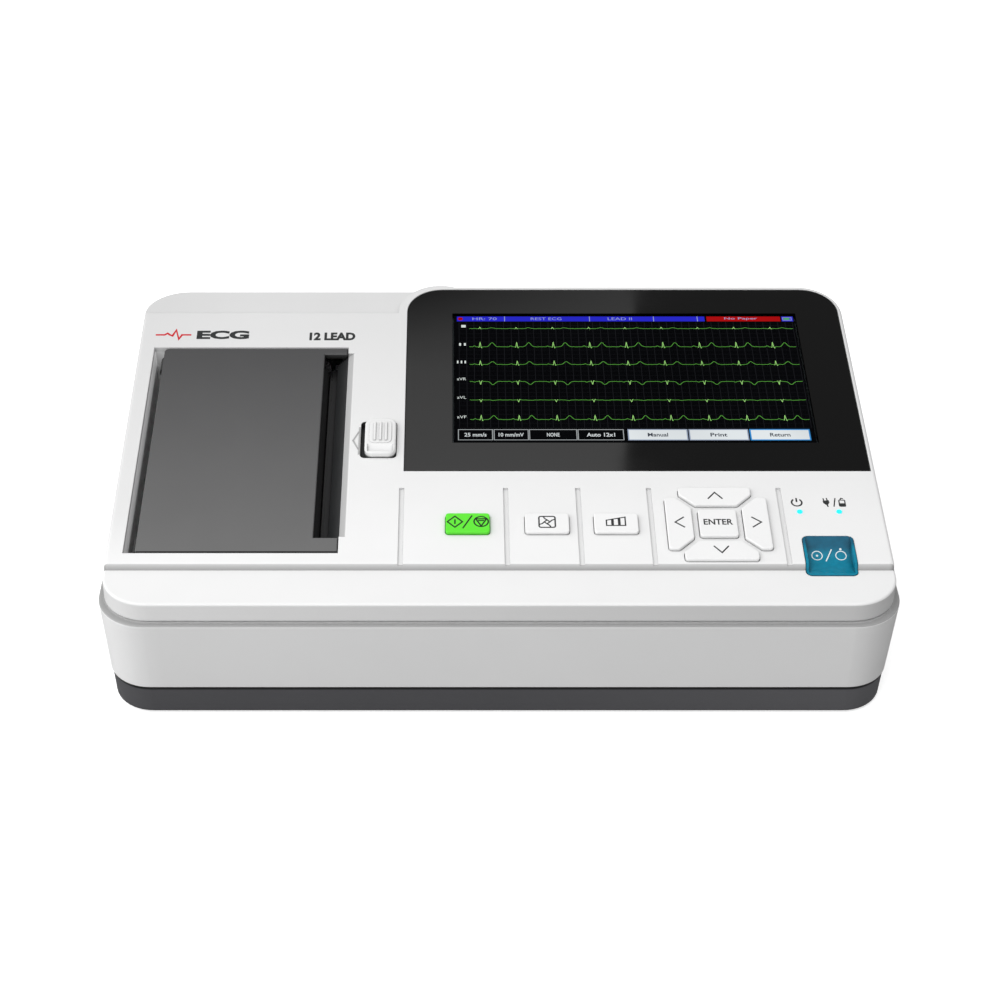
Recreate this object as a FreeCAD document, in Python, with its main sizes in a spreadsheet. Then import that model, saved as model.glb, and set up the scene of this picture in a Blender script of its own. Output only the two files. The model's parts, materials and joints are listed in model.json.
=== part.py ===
import FreeCAD, Part
import math
import os

import Sketcher

# A desktop electrocardiograph with a tinted paper door, a display under glass and a row of keys.
# +X is the operator's right, +Y runs to the back and +Z is up; the origin is the centre of the
# footprint on the table. Sizes are millimetres and degrees.
#
# Pieces of the sloping top are built in the panel frame: x as above, y up the slope, z out of the
# panel. It is tilted by panel_slope about X, and its origin lies ridge_back ahead of the panel's ridge.

DIMENSIONS = [
    # case shells, from the table upwards
    ("case_width", 322),
    ("case_depth", 206.6),
    ("case_draft", 3.4),
    ("corner_radius", 20),
    ("wall", 2.5),
    ("foot_height", 0.8),
    ("base_height", 13.7),
    ("base_inset", 2.5),
    ("seam_gap", 0.8),
    ("seam_clearance", 0.3),
    ("band_height", 33.5),
    ("groove_height", 1.1),
    ("lip_height", 8.3),
    ("cover_inset", 2.3),
    ("tongue_inset", 5),
    ("tongue_wall", 2),
    ("tongue_overlap", 1.8),
    # sloping top
    ("panel_slope", 7),
    ("ridge_setback", 80.4),
    ("ridge_height", 60.3),
    ("ridge_back", 2.4),
    ("step_height", 2.1),
    ("step_lean", 1.4),
    ("deck_start", 162.8),
    ("deck_drop", 1),
    ("deck_right", -43),
    ("edge_radius", 1.5),
    ("divider_width", 2.1),
    ("divider_depth", 0.8),
    ("divider_length", 46.6),
    # paper window, door and platen
    ("window_left", -151.7),
    ("window_right", -64.9),
    ("window_front", 8.3),
    ("window_rear", 138.2),
    ("door_left", -147),
    ("door_gap", 0.35),
    ("door_recess", 0.4),
    ("door_thickness", 2.6),
    ("slot_left", -75.4),
    ("slot_front", 17.7),
    ("slot_rear", 134),
    ("slot_bevel", 2.8),
    ("hinge_x", -146),
    ("hinge_z", -5),
    ("hinge_pin_radius", 1.25),
    ("knuckle_radius", 2.6),
    ("knuckle_length", 8),
    ("running_gap", 0.05),
    ("platen_x", -79.5),
    ("platen_z", -11),
    ("platen_radius", 6),
    ("platen_front", 20.5),
    ("platen_rear", 131.5),
    ("platen_shaft_radius", 2),
    ("bush_radius", 3),
    ("cheek_front", 15),
    ("cheek_rear", 132.4),
    ("cheek_width", 2),
    ("catch_depth", 13),
    ("catch_left", -67.6),
    ("catch_nose", -69),
    # print mechanism
    ("gear_module", 0.6),
    ("gear_front", 135.2),
    ("gear_width", 2.2),
    ("platen_teeth", 20),
    ("idler_teeth", 30),
    ("pinion_teeth", 12),
    ("idler_angle", -95.2),
    ("pinion_angle", -50),
    ("idler_stud_radius", 1.5),
    ("motor_radius", 9.5),
    ("motor_length", 22),
    ("motor_shaft_radius", 1),
    ("frame_sheet", 1.4),
    ("frame_floor", -48.5),
    ("frame_front", 15.2),
    ("frame_rear", 132.7),
    ("frame_left", -90.8),
    ("frame_right", -58),
    ("frame_side_top", -19),
    ("head_tilt", 8),
    ("head_gap", 0.1),
    ("head_front", 18),
    ("head_rear", 132),
    ("head_pin_radius", 1.5),
    ("head_pin_x", -72.29),
    ("head_pin_z", -24.34),
    # paper tray
    ("tray_wall", 2),
    ("tray_right", -93.5),
    ("tray_depth", 38),
    # latch
    ("latch_front", 65),
    ("latch_rear", 88.2),
    ("latch_slot_left", -57.8),
    ("latch_slot_right", -42.3),
    ("latch_slot_radius", 2),
    ("knob_left", -55.9),
    ("knob_right", -42.6),
    ("knob_height", 3),
    ("knob_radius", 3.6),
    ("rib_height", 0.6),
    ("slider_top", -3),
    ("slider_sheet", 1.6),
    ("hook_width", 3),
    ("hook_sheet", 1.2),
    ("hook_riser", -61.5),
    ("hook_arm", -71),
    ("hook_nose", -67.9),
    # display
    ("glass_left", -39),
    ("glass_right", 156.7),
    ("glass_front", 57),
    ("glass_rear", 179.9),
    ("glass_radius", 16),
    ("glass_thickness", 1.5),
    ("glass_gap", 0.15),
    ("screen_left", -18),
    ("screen_right", 136.6),
    ("screen_front", 75.6),
    ("screen_rear", 161.5),
    ("screen_frame", 6),
    ("screen_thickness", 5.7),
    # keys
    ("key_half_width", 9),
    ("key_half_length", 5.6),
    ("key_row", 24.5),
    ("key_height", 1.5),
    ("key_radius", 1.6),
    ("key_gap", 0.25),
    ("key_edge", 0.4),
    ("flange_reach", 1.2),
    ("flange_thickness", 0.9),
    ("start_key_x", -12.5),
    ("trace_key_x", 19.9),
    ("gain_key_x", 48.1),
    ("pad_x", 89.7),
    ("pad_reach", 21),
    ("pad_inner", 10.4),
    ("pad_long_half", 14.9),
    ("pad_short_half", 8.6),
    ("enter_half", 7.8),
    ("power_left", 123.1),
    ("power_right", 143.7),
    ("power_front", -2.7),
    ("power_rear", 18),
    ("power_bottom", -5.8),
    ("power_radius", 2.4),
    ("scoop_radius", 17),
    ("scoop_y", 7),
    ("scoop_z", 13.1),
    ("lamp_power_x", 124),
    ("lamp_supply_x", 140.2),
    ("lamp_row", 32.3),
    ("lamp_radius", 1.1),
    ("board_sheet", 1.6),
    # connectors in the side and back walls
    ("port_level", 30),
    ("patient_port_y", -20),
    ("jackscrew_spacing", 33.3),
    ("jackscrew_radius", 1.25),
    ("inlet_x", 112),
    ("ground_x", 74),
    ("ground_pin_radius", 3),
    ("ground_pin_length", 12),
    ("ground_pin_tip", 102),
    ("network_x", 40),
    ("usb_x", 14),
    ("usb_level", 26.6),
    ("board_level", 21.6),
    # base
    ("foot_radius", 8),
    ("foot_x", 136),
    ("foot_y", 82),
    ("battery_x", 45),
    ("battery_y", -28),
    ("battery_half_width", 39),
    ("battery_half_length", 35),
    ("battery_height", 15),
    ("bay_ledge", 5),
    ("screw_radius", 1.2),
    ("screw_head_radius", 2.9),
    ("screw_seat", 6),
    ("boss_radius", 4),
]

DIVIDER_XS = (-39.7, 3.4, 33.4, 62.8, 116.6)
SCREW_PLACES = ((-148.5, -85.5), (0, -91.5), (148.5, -85.5), (-148.5, 85.5), (-36, 90), (148.5, 85.5))
POST_PLACES = ((-29, 6), (-29, 44), (119, 6), (147, 44))
BOARD_POSTS = ((-38, -68), (142, -68), (-20, 88), (52, 88))
FRAME_POSTS = ((-84.8, -45.5, 15.2), (-64, -45.5, 15.2), (-84.8, 45.3, 26.4), (-64, 45.3, 26.4))

X_AXIS = FreeCAD.Vector(1, 0, 0)
Y_AXIS = FreeCAD.Vector(0, 1, 0)
Z_AXIS = FreeCAD.Vector(0, 0, 1)
AXES = {"x": X_AXIS, "y": Y_AXIS, "z": Z_AXIS}
PLANES = {"xy": "XY_Plane", "xz": "XZ_Plane", "yz": "YZ_Plane"}

doc = FreeCAD.newDocument("Electrocardiograph")
sheet = doc.addObject("Spreadsheet::Sheet", "Sheet")
subparts = []


# ---------------------------------------------------------------- sizes bound to the sheet


class Size:
    """A number together with the sheet formula that gives it."""

    def __init__(self, number, text=None):
        self.number = float(number)
        self.text = text or f"({number:.6f})"

    def __float__(self):
        return self.number

    def __add__(self, other):
        other = as_size(other)
        return Size(self.number + other.number, f"({self.text} + {other.text})")

    def __sub__(self, other):
        other = as_size(other)
        return Size(self.number - other.number, f"({self.text} - {other.text})")

    def __mul__(self, other):
        other = as_size(other)
        return Size(self.number * other.number, f"({self.text} * {other.text})")

    def __truediv__(self, other):
        other = as_size(other)
        return Size(self.number / other.number, f"({self.text} / {other.text})")

    def __radd__(self, other):
        return as_size(other) + self

    def __rsub__(self, other):
        return as_size(other) - self

    def __rmul__(self, other):
        return as_size(other) * self

    def __neg__(self):
        return as_size(0) - self


def as_size(item):
    return item if isinstance(item, Size) else Size(float(item))


def tan(angle):
    return Size(math.tan(math.radians(float(angle))), f"tan({angle.text})")


def cos(angle):
    return Size(math.cos(math.radians(float(angle))), f"cos({angle.text})")


class Dimensions:
    """The driving dimensions, one attribute for each alias of the sheet."""


D = Dimensions()
for row, (alias, number) in enumerate(DIMENSIONS, start=1):
    sheet.set(f"A{row}", alias)
    sheet.set(f"B{row}", str(number))
    sheet.setAlias(f"B{row}", alias)
    setattr(D, alias, Size(number, f"Sheet.{alias}"))
doc.recompute()

BASE_TOP = D.foot_height + D.base_height
BAND_BOTTOM = BASE_TOP + D.seam_gap
BAND_TOP = BAND_BOTTOM + D.band_height
COVER_BOTTOM = BAND_TOP + D.groove_height
COVER_HALF_WIDTH = D.case_width / 2 - D.cover_inset
COVER_HALF_DEPTH = D.case_depth / 2 - D.cover_inset
DRAFT_SHRINK = D.band_height * tan(D.case_draft)
FLOOR_TOP = D.foot_height + D.wall


def around(middle, half):
    """The span that reaches half either side of a middle."""
    return middle - half, middle + half


def bind(item, **sizes):
    """Ties properties of item to sheet formulas; a double underscore in a name stands for a dot."""
    for name, size in sizes.items():
        item.setExpression(name.replace("__", "."), as_size(size).text)


def put_in_panel_frame(item):
    """Places a piece that was modelled in the panel frame."""
    item.Placement = FreeCAD.Placement(FreeCAD.Vector(), FreeCAD.Rotation(X_AXIS, float(D.panel_slope)))
    bind(item, Placement__Base__y=-D.ridge_setback, Placement__Base__z=D.ridge_height)
    bind(item, Placement__Rotation__Angle=D.panel_slope)


def panel_point(x, y, z):
    """Where a point of the level frame lies in the panel frame."""
    slope = math.radians(float(D.panel_slope))
    ahead = float(y) + float(D.ridge_setback)
    above = float(z) - float(D.ridge_height)
    along = ahead * math.cos(slope) + above * math.sin(slope)
    out = above * math.cos(slope) - ahead * math.sin(slope)
    return FreeCAD.Vector(float(x), along, out)


# ---------------------------------------------------------------- features of a body


def new_body(label, panel=False):
    """An empty body for one sub-part, in the panel frame or level with the table."""
    body = doc.addObject("PartDesign::Body", label)
    body.Label = label
    if panel:
        put_in_panel_frame(body)
    subparts.append(body)
    return body


def volume_of(body):
    return body.Shape.Volume if body.Tip else 0.0


def settle(body, feature, before):
    """Recomputes and makes sure that the newest feature worked and changed the body."""
    doc.recompute()
    if "Invalid" in feature.State or "Error" in feature.State or not body.Shape.isValid():
        raise RuntimeError(f"{body.Label}: {feature.Name} failed")
    if abs(body.Shape.Volume - before) < 1e-6:
        raise RuntimeError(f"{body.Label}: {feature.Name} changed nothing")
    return feature


def block(body, x, y, z, cut=False):
    """A block between two sizes on each axis, added or cut away."""
    before = volume_of(body)
    kind = "PartDesign::SubtractiveBox" if cut else "PartDesign::AdditiveBox"
    feature = body.newObject(kind, "Block")
    bind(feature, Placement__Base__x=x[0], Placement__Base__y=y[0], Placement__Base__z=z[0])
    bind(feature, Length=x[1] - as_size(x[0]), Width=y[1] - as_size(y[0]), Height=z[1] - as_size(z[0]))
    return settle(body, feature, before)


def bar(body, radius, length, start, axis="z", cut=False):
    """A round bar that starts at a point and runs along an axis, added or cut away."""
    before = volume_of(body)
    kind = "PartDesign::SubtractiveCylinder" if cut else "PartDesign::AdditiveCylinder"
    feature = body.newObject(kind, "Round")
    feature.Placement = FreeCAD.Placement(FreeCAD.Vector(), FreeCAD.Rotation(Z_AXIS, AXES[axis]))
    bind(feature, Placement__Base__x=start[0], Placement__Base__y=start[1], Placement__Base__z=start[2])
    bind(feature, Radius=radius, Height=length)
    return settle(body, feature, before)


def upright(body, radius, length, foot, cut=False):
    """A bar square to the table in a body of the panel frame; foot is a point of the level frame."""
    before = volume_of(body)
    kind = "PartDesign::SubtractiveCylinder" if cut else "PartDesign::AdditiveCylinder"
    feature = body.newObject(kind, "Upright")
    tilt = FreeCAD.Rotation(X_AXIS, -float(D.panel_slope))
    feature.Placement = FreeCAD.Placement(panel_point(*foot), tilt)
    bind(feature, Radius=radius, Height=length)
    return settle(body, feature, before)


def level_block(body, corner, sizes, cut=False):
    """A block square to the table in a body of the panel frame; corner is a point of the level frame."""
    before = volume_of(body)
    kind = "PartDesign::SubtractiveBox" if cut else "PartDesign::AdditiveBox"
    feature = body.newObject(kind, "LevelBlock")
    tilt = FreeCAD.Rotation(X_AXIS, -float(D.panel_slope))
    feature.Placement = FreeCAD.Placement(panel_point(*corner), tilt)
    bind(feature, Length=sizes[0], Width=sizes[1], Height=sizes[2])
    return settle(body, feature, before)


def start_sketch(body, plane, level):
    """A sketch on one of the body's own planes, at a level along the axis square to it."""
    sketch = body.newObject("Sketcher::SketchObject", "Outline")
    support = next(f for f in body.Origin.OriginFeatures if f.Role == PLANES[plane])
    sketch.AttachmentSupport = (support, "")
    sketch.MapMode = "FlatFace"
    bind(sketch, AttachmentOffset__Base__z=-as_size(level) if plane == "xz" else level)
    return sketch


def constrain(sketch, kind, *places, size):
    """Adds a dimension to a sketch and ties it to its formula."""
    index = sketch.addConstraint(Sketcher.Constraint(kind, *places, float(size)))
    sketch.setExpression(f"Constraints[{index}]", as_size(size).text)


def draw_polygon(sketch, points):
    """Draws a closed outline whose corners are dimensioned from the sketch's origin."""
    corners = [FreeCAD.Vector(float(u), float(v), 0) for u, v in points]
    count = len(corners)
    for i in range(count):
        sketch.addGeometry(Part.LineSegment(corners[i], corners[(i + 1) % count]))
    for i in range(count):
        sketch.addConstraint(Sketcher.Constraint("Coincident", i, 2, (i + 1) % count, 1))
    for i, (u, v) in enumerate(points):
        constrain(sketch, "DistanceX", -1, 1, i, 1, size=u)
        constrain(sketch, "DistanceY", -1, 1, i, 1, size=v)


def extrude(body, sketch, span, cut=False, taper=0):
    """Pads or pockets a sketch over the length of a span."""
    before = volume_of(body)
    feature = body.newObject("PartDesign::Pocket" if cut else "PartDesign::Pad", "Extrusion")
    feature.Profile = sketch
    feature.Reversed = cut
    bind(feature, Length=span[1] - as_size(span[0]), TaperAngle=taper)
    return settle(body, feature, before)


def prism(body, points, span, plane="xy", cut=False):
    """A straight-sided outline extruded over a span; on the xz plane the span is along y."""
    sketch = start_sketch(body, plane, span[1] if plane == "xz" else span[0])
    draw_polygon(sketch, points)
    return extrude(body, sketch, span, cut)


def rounded(body, half_width, half_depth, radius, span, taper=0, cut=False):
    """A rounded rectangle about the origin in plan, extruded upwards with an optional draft."""
    sketch = start_sketch(body, "xy", span[0])
    w, d, r = float(half_width), float(half_depth), float(radius)
    ends = [
        (-w + r, -d, w - r, -d),
        (w, -d + r, w, d - r),
        (w - r, d, -w + r, d),
        (-w, d - r, -w, -d + r),
    ]
    for x0, y0, x1, y1 in ends:
        sketch.addGeometry(Part.LineSegment(FreeCAD.Vector(x0, y0, 0), FreeCAD.Vector(x1, y1, 0)))
    middles = [(w - r, -d + r), (w - r, d - r), (-w + r, d - r), (-w + r, -d + r)]
    for quarter, (x, y) in enumerate(middles):
        circle = Part.Circle(FreeCAD.Vector(x, y, 0), Z_AXIS, r)
        start = (quarter - 1) * math.pi / 2
        sketch.addGeometry(Part.ArcOfCircle(circle, start, start + math.pi / 2))
    for i in range(4):
        sketch.addConstraint(Sketcher.Constraint("Tangent", i, 2, 4 + i, 1))
        sketch.addConstraint(Sketcher.Constraint("Tangent", 4 + i, 2, (i + 1) % 4, 1))
    for i in (0, 2):
        sketch.addConstraint(Sketcher.Constraint("Horizontal", i))
        sketch.addConstraint(Sketcher.Constraint("Vertical", i + 1))
    for i in (5, 6, 7):
        sketch.addConstraint(Sketcher.Constraint("Equal", 4, i))
    sketch.addConstraint(Sketcher.Constraint("Symmetric", 0, 1, 2, 1, -1, 1))
    constrain(sketch, "Radius", 4, size=radius)
    constrain(sketch, "DistanceX", 3, 1, 1, 1, size=half_width * 2)
    constrain(sketch, "DistanceY", 0, 1, 2, 1, size=half_depth * 2)
    return extrude(body, sketch, span, cut, taper)


def carve(body, tool):
    """Cuts one body's shape out of another that shares its frame."""
    before = volume_of(body)
    feature = body.newObject("PartDesign::Boolean", "Carving")
    feature.setObjects([tool])
    feature.Type = "Cut"
    return settle(body, feature, before)


def carve_opening(body, name, x, y, z, radius):
    """Cuts an opening with rounded corners."""
    tool = doc.addObject("PartDesign::Body", name)
    block(tool, x, y, z)
    soften(tool, radius, lambda e: straight(e, Z_AXIS))
    carve(body, tool)


def soften(body, radius, choose, chamfer=False):
    """Rounds or bevels those edges of the body's newest shape that choose picks."""
    base = body.Tip
    before = volume_of(body)
    names = [f"Edge{i}" for i, edge in enumerate(base.Shape.Edges, start=1) if choose(edge)]
    if not names:
        raise RuntimeError(f"{body.Label}: no edge to soften")
    feature = body.newObject("PartDesign::Chamfer" if chamfer else "PartDesign::Fillet", "Edge")
    feature.Base = (base, names)
    if chamfer:
        bind(feature, Size=radius)
    else:
        bind(feature, Radius=radius)
    return settle(body, feature, before)


def straight(edge, axis):
    """Whether an edge is a straight line along an axis."""
    if edge.Curve.TypeId != "Part::GeomLine":
        return False
    return abs(abs(edge.Curve.Direction.dot(axis)) - 1) < 1e-6


def is_circle(edge):
    return edge.Curve.TypeId == "Part::GeomCircle"


def lies_at(edge, **places):
    """Whether the whole of an edge lies at the given coordinates."""
    room = edge.BoundBox
    spans = {"x": (room.XMin, room.XMax), "y": (room.YMin, room.YMax), "z": (room.ZMin, room.ZMax)}
    return all(abs(end - float(size)) < 0.01 for name, size in places.items() for end in spans[name])


def near(first, second):
    return abs(float(first) - float(second)) < 0.01


def group(label, solids, panel=False):
    """A sub-part made of plain solids that are worked out in code."""
    item = doc.addObject("Part::Feature", label)
    item.Label = label
    item.Shape = Part.makeCompound(solids)
    if panel:
        put_in_panel_frame(item)
    subparts.append(item)
    return item


def solid_block(x, y, z):
    """A plain block between two numbers on each axis."""
    low = FreeCAD.Vector(float(x[0]), float(y[0]), float(z[0]))
    return Part.makeBox(float(x[1]) - low.x, float(y[1]) - low.y, float(z[1]) - low.z, low)


def solid_bar(radius, length, start, axis=Z_AXIS):
    """A plain round bar."""
    place = FreeCAD.Vector(*(float(c) for c in start))
    return Part.makeCylinder(float(radius), float(length), place, axis)


# ---------------------------------------------------------------- base, band and feet


def make_base_tray():
    """The dark bottom shell, with the battery bay's opening, vents, posts and screw wells."""
    body = new_body("base_tray")
    top_half = (D.case_width / 2 - D.base_inset, D.case_depth / 2 - D.base_inset)
    shrink = D.base_height * tan(D.case_draft)
    outer = [half - shrink for half in top_half]
    radius = D.corner_radius - D.base_inset - shrink
    rounded(body, *outer, radius, (D.foot_height, BASE_TOP), taper=D.case_draft)
    soften(body, D.edge_radius, lambda e: lies_at(e, z=D.foot_height))
    inside = [D.case_width / 2 - DRAFT_SHRINK - D.wall, D.case_depth / 2 - DRAFT_SHRINK - D.wall]
    tongue = [half - D.seam_clearance for half in inside]
    hollow = [half - D.edge_radius for half in tongue]
    tongue_top = BAND_BOTTOM + D.wall
    rounded(body, *tongue, D.corner_radius - D.tongue_inset, (BASE_TOP - D.wall, tongue_top))
    hollow_radius = D.corner_radius - D.tongue_inset - D.edge_radius
    rounded(body, *hollow, hollow_radius, (FLOOR_TOP, tongue_top + 1), cut=True)
    for x, y in SCREW_PLACES:
        bar(body, D.boss_radius, BASE_TOP - D.wall - D.foot_height - 1, (x, y, D.foot_height + 1))
        bar(body, D.screw_head_radius + D.seam_clearance, D.screw_seat, (x, y, 0), cut=True)
        bar(body, D.screw_radius + D.seam_clearance, BASE_TOP, (x, y, 0), cut=True)
    for x, y in BOARD_POSTS:
        bar(body, D.boss_radius - 1, D.board_level - D.foot_height - 1, (x, y, D.foot_height + 1))
    for x, y, top in FRAME_POSTS:
        bar(body, D.boss_radius - 1, top - D.foot_height - 1, (x, y, D.foot_height + 1))
    cut_battery_bay(body)
    for row in range(7):
        y = 16 + 8 * row
        block(body, (-58, -24), (y, y + 2.4), (0, FLOOR_TOP + 1), cut=True)
    return body


def bay_span(margin):
    """The battery bay in plan, grown by a margin."""
    x = around(D.battery_x, D.battery_half_width + 1 + margin)
    y = around(D.battery_y, D.battery_half_length + 1)
    return x, y


def cut_battery_bay(body):
    """Opens the floor for the battery, with a shallow ledge for its door, and adds two locating ribs."""
    opening_x, opening_y = bay_span(0)
    ledge_x, _ = bay_span(D.bay_ledge)
    for side in (-1, 1):
        rib_y = D.battery_y + side * (D.battery_half_length + 2.5)
        block(body, opening_x, around(rib_y, 0.75), (FLOOR_TOP - 0.5, BASE_TOP - 1))
    block(body, opening_x, opening_y, (0, FLOOR_TOP + 0.01), cut=True)
    block(body, ledge_x, opening_y, (0, D.foot_height + 1.3), cut=True)
    for side in (-1, 1):
        hole = (D.battery_x + side * (D.battery_half_width + 3.6), D.battery_y, D.foot_height)
        bar(body, 0.9, D.wall + 1, hole, cut=True)


def make_battery():
    """The battery pack, its door in the floor and the door's two screws."""
    body = new_body("battery_pack")
    x = around(D.battery_x, D.battery_half_width)
    y = around(D.battery_y, D.battery_half_length)
    block(body, x, y, (FLOOR_TOP + 0.1, FLOOR_TOP + 0.1 + D.battery_height))
    soften(body, 3, lambda e: straight(e, Y_AXIS))
    door = new_body("battery_door")
    clearance = 0.2
    ledge_x, opening_y = bay_span(D.bay_ledge - clearance)
    opening_x, _ = bay_span(-clearance)
    plate_y = (opening_y[0] + clearance, opening_y[1] - clearance)
    block(door, ledge_x, plate_y, (D.foot_height, D.foot_height + 1.2))
    block(door, opening_x, plate_y, (D.foot_height + 1.1, FLOOR_TOP))
    screws = []
    for side in (-1, 1):
        place = (D.battery_x + side * (D.battery_half_width + 3.6), D.battery_y, D.foot_height)
        bar(door, 1.1, 3, place, cut=True)
        bar(door, 2, 0.6, place, cut=True)
        shank = solid_bar(0.85, 2.3, (place[0], place[1], float(place[2]) + 0.1))
        head = solid_bar(1.9, 0.5, (place[0], place[1], float(place[2]) + 0.05))
        slot = solid_block(around(place[0], 1.2), around(place[1], 0.2), (place[2], place[2] + 0.3))
        screws.append(shank.fuse(head).cut(slot))
    for row in range(5):
        groove_y = D.battery_y - 12 + 3 * row
        block(door, around(D.battery_x, 14), around(groove_y, 0.6), (0, D.foot_height + 0.4), cut=True)
    group("battery_door_screws", screws)


def make_lower_housing():
    """The pale band between the base and the cover, whose tongue forms the shadow groove."""
    body = new_body("lower_housing")
    low_half = [D.case_width / 2 - DRAFT_SHRINK, D.case_depth / 2 - DRAFT_SHRINK]
    rounded(body, *low_half, D.corner_radius - DRAFT_SHRINK, (BAND_BOTTOM, BAND_TOP), taper=D.case_draft)
    soften(body, 0.8, lambda e: lies_at(e, z=BAND_TOP))
    inside = [half - D.wall for half in low_half]
    hollow_radius = D.corner_radius - DRAFT_SHRINK - D.wall
    rounded(body, *inside, hollow_radius, (BAND_BOTTOM, BAND_TOP - D.wall), cut=True)
    tongue = [D.case_width / 2 - D.tongue_inset, D.case_depth / 2 - D.tongue_inset]
    tongue_top = COVER_BOTTOM + D.tongue_overlap
    rounded(body, *tongue, D.corner_radius - 3, (BAND_TOP - D.wall, tongue_top))
    shaft = [half - D.tongue_wall for half in tongue]
    shaft_span = (BAND_TOP - D.wall - 1, tongue_top + 1)
    rounded(body, *shaft, D.corner_radius - 3 - D.tongue_wall, shaft_span, cut=True)
    outside = D.case_width / 2
    deep = (outside - 9, outside + 2)
    block(body, deep, around(D.patient_port_y, 12.8), around(D.port_level, 4.8), cut=True)
    for side in (-1, 1):
        place = (outside - 9, D.patient_port_y + side * D.jackscrew_spacing / 2, D.port_level)
        bar(body, 3, 12, place, axis="x", cut=True)
    back = (D.case_depth / 2 - 8, D.case_depth / 2 + 2)
    block(body, around(D.inlet_x, 13.9), back, around(D.port_level, 10.2), cut=True)
    block(body, around(D.network_x, 8.3), back, around(D.port_level, 7), cut=True)
    block(body, around(D.usb_x, 7), back, around(D.usb_level, 3.5), cut=True)
    cup_floor = D.ground_pin_tip - D.ground_pin_length - 2
    cup_radius = D.ground_pin_radius + 5
    place = (D.ground_x, cup_floor - 2, D.port_level)
    bar(body, cup_radius + 2, D.case_depth / 2 - 1.8 - cup_floor + 2, place, axis="y")
    bar(body, cup_radius, 20, (D.ground_x, cup_floor, D.port_level), axis="y", cut=True)
    bar(body, D.ground_pin_radius - 0.5, 4, (D.ground_x, cup_floor - 3, D.port_level), axis="y", cut=True)
    return body


def make_feet():
    """Four round rubber feet under the base."""
    solids = []
    for x in (-D.foot_x, D.foot_x):
        for y in (-D.foot_y, D.foot_y):
            pad = solid_bar(D.foot_radius, D.foot_height, (x, y, 0))
            rim = [e for e in pad.Edges if e.BoundBox.ZMax < 0.01]
            solids.append(pad.makeFillet(0.6, rim))
    return group("rubber_feet", solids)


def make_shell_screws():
    """Six screws that clamp the base to the cover's bosses."""
    solids = []
    seat = float(D.screw_seat)
    for x, y in SCREW_PLACES:
        shank = solid_bar(D.screw_radius, 16, (x, y, seat - 0.5))
        head = solid_bar(D.screw_head_radius, 1.6, (x, y, seat - 1.6))
        slots = solid_block((x - 1.9, x + 1.9), (y - 0.35, y + 0.35), (seat - 1.7, seat - 0.9))
        cross = solid_block((x - 0.35, x + 0.35), (y - 1.9, y + 1.9), (seat - 1.7, seat - 0.9))
        solids.append(shank.fuse(head).cut(slots).cut(cross))
    return group("shell_screws", solids)


# ---------------------------------------------------------------- top cover


def side_profile(inset, ridge):
    """The cover's side outline in the level frame, from the panel frame's origin.

    The inset shrinks it, and ridge is how far the ridge lies behind the origin.
    """
    front = D.ridge_setback - COVER_HALF_DEPTH + inset
    back = D.ridge_setback + COVER_HALF_DEPTH - inset
    bottom = COVER_BOTTOM - D.ridge_height
    lip = bottom + D.lip_height - inset
    under = inset / cos(D.panel_slope)
    step_y = ridge + inset * 0.65
    return [
        (front, bottom),
        (back, bottom),
        (back, back * tan(D.panel_slope) - under),
        (step_y, step_y * tan(D.panel_slope) - under),
        (step_y - D.step_lean, -D.step_height - inset),
        (front, lip),
    ]


def extrude_side_profile(body, inset, ridge, cut=False):
    """Extrudes the cover's side outline across the case."""
    half = COVER_HALF_WIDTH - inset
    sketch = start_sketch(body, "yz", -half)
    turn = FreeCAD.Rotation(FreeCAD.Vector(0, 0, -1), float(D.panel_slope))
    sketch.AttachmentOffset = FreeCAD.Placement(sketch.AttachmentOffset.Base, turn)
    bind(sketch, AttachmentOffset__Rotation__Angle=D.panel_slope)
    draw_polygon(sketch, side_profile(inset, ridge))
    return extrude(body, sketch, (-half, half), cut)


def stands_upright(edge):
    """Whether an edge in the panel frame is square to the table."""
    slope = math.radians(float(D.panel_slope))
    return straight(edge, FreeCAD.Vector(0, math.sin(slope), math.cos(slope)))


def make_top_cover():
    """The white top shell: sloping panel, front strip, paper window, display seat and key openings."""
    body = new_body("top_cover", panel=True)
    radius = D.corner_radius - 1
    ridge = D.ridge_back * cos(D.panel_slope)
    extrude_side_profile(body, as_size(0), ridge)
    soften(body, radius, lambda e: stands_upright(e) and near(abs(e.CenterOfMass.x), COVER_HALF_WIDTH))
    riser_end = lambda e: near(abs(e.CenterOfMass.x), COVER_HALF_WIDTH) and near(e.BoundBox.YMax, D.ridge_back)
    soften(body, 2, riser_end)
    soften(body, D.edge_radius, is_rim)
    soften(body, 1, is_lip)
    lower_rear_deck(body)
    hollow = doc.addObject("PartDesign::Body", "cover_hollow")
    extrude_side_profile(hollow, D.wall, ridge * 0.4)
    lower_rear_deck(hollow, float(D.wall))
    inner = COVER_HALF_WIDTH - D.wall
    tall = lambda e: stands_upright(e) and near(abs(e.CenterOfMass.x), inner) and e.Length > 4
    soften(hollow, radius - D.wall, tall)
    carve(body, hollow)
    cut_panel_openings(body)
    cut_key_openings(body)
    add_cover_posts(body)


def deck_place():
    """The level of the rear deck and where it starts, in the level frame."""
    slope = math.radians(float(D.panel_slope))
    top = float(D.ridge_height) + float(D.deck_start) * math.sin(slope) - float(D.deck_drop)
    front = -float(D.ridge_setback) + float(D.deck_start) * math.cos(slope)
    return top, front


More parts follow.
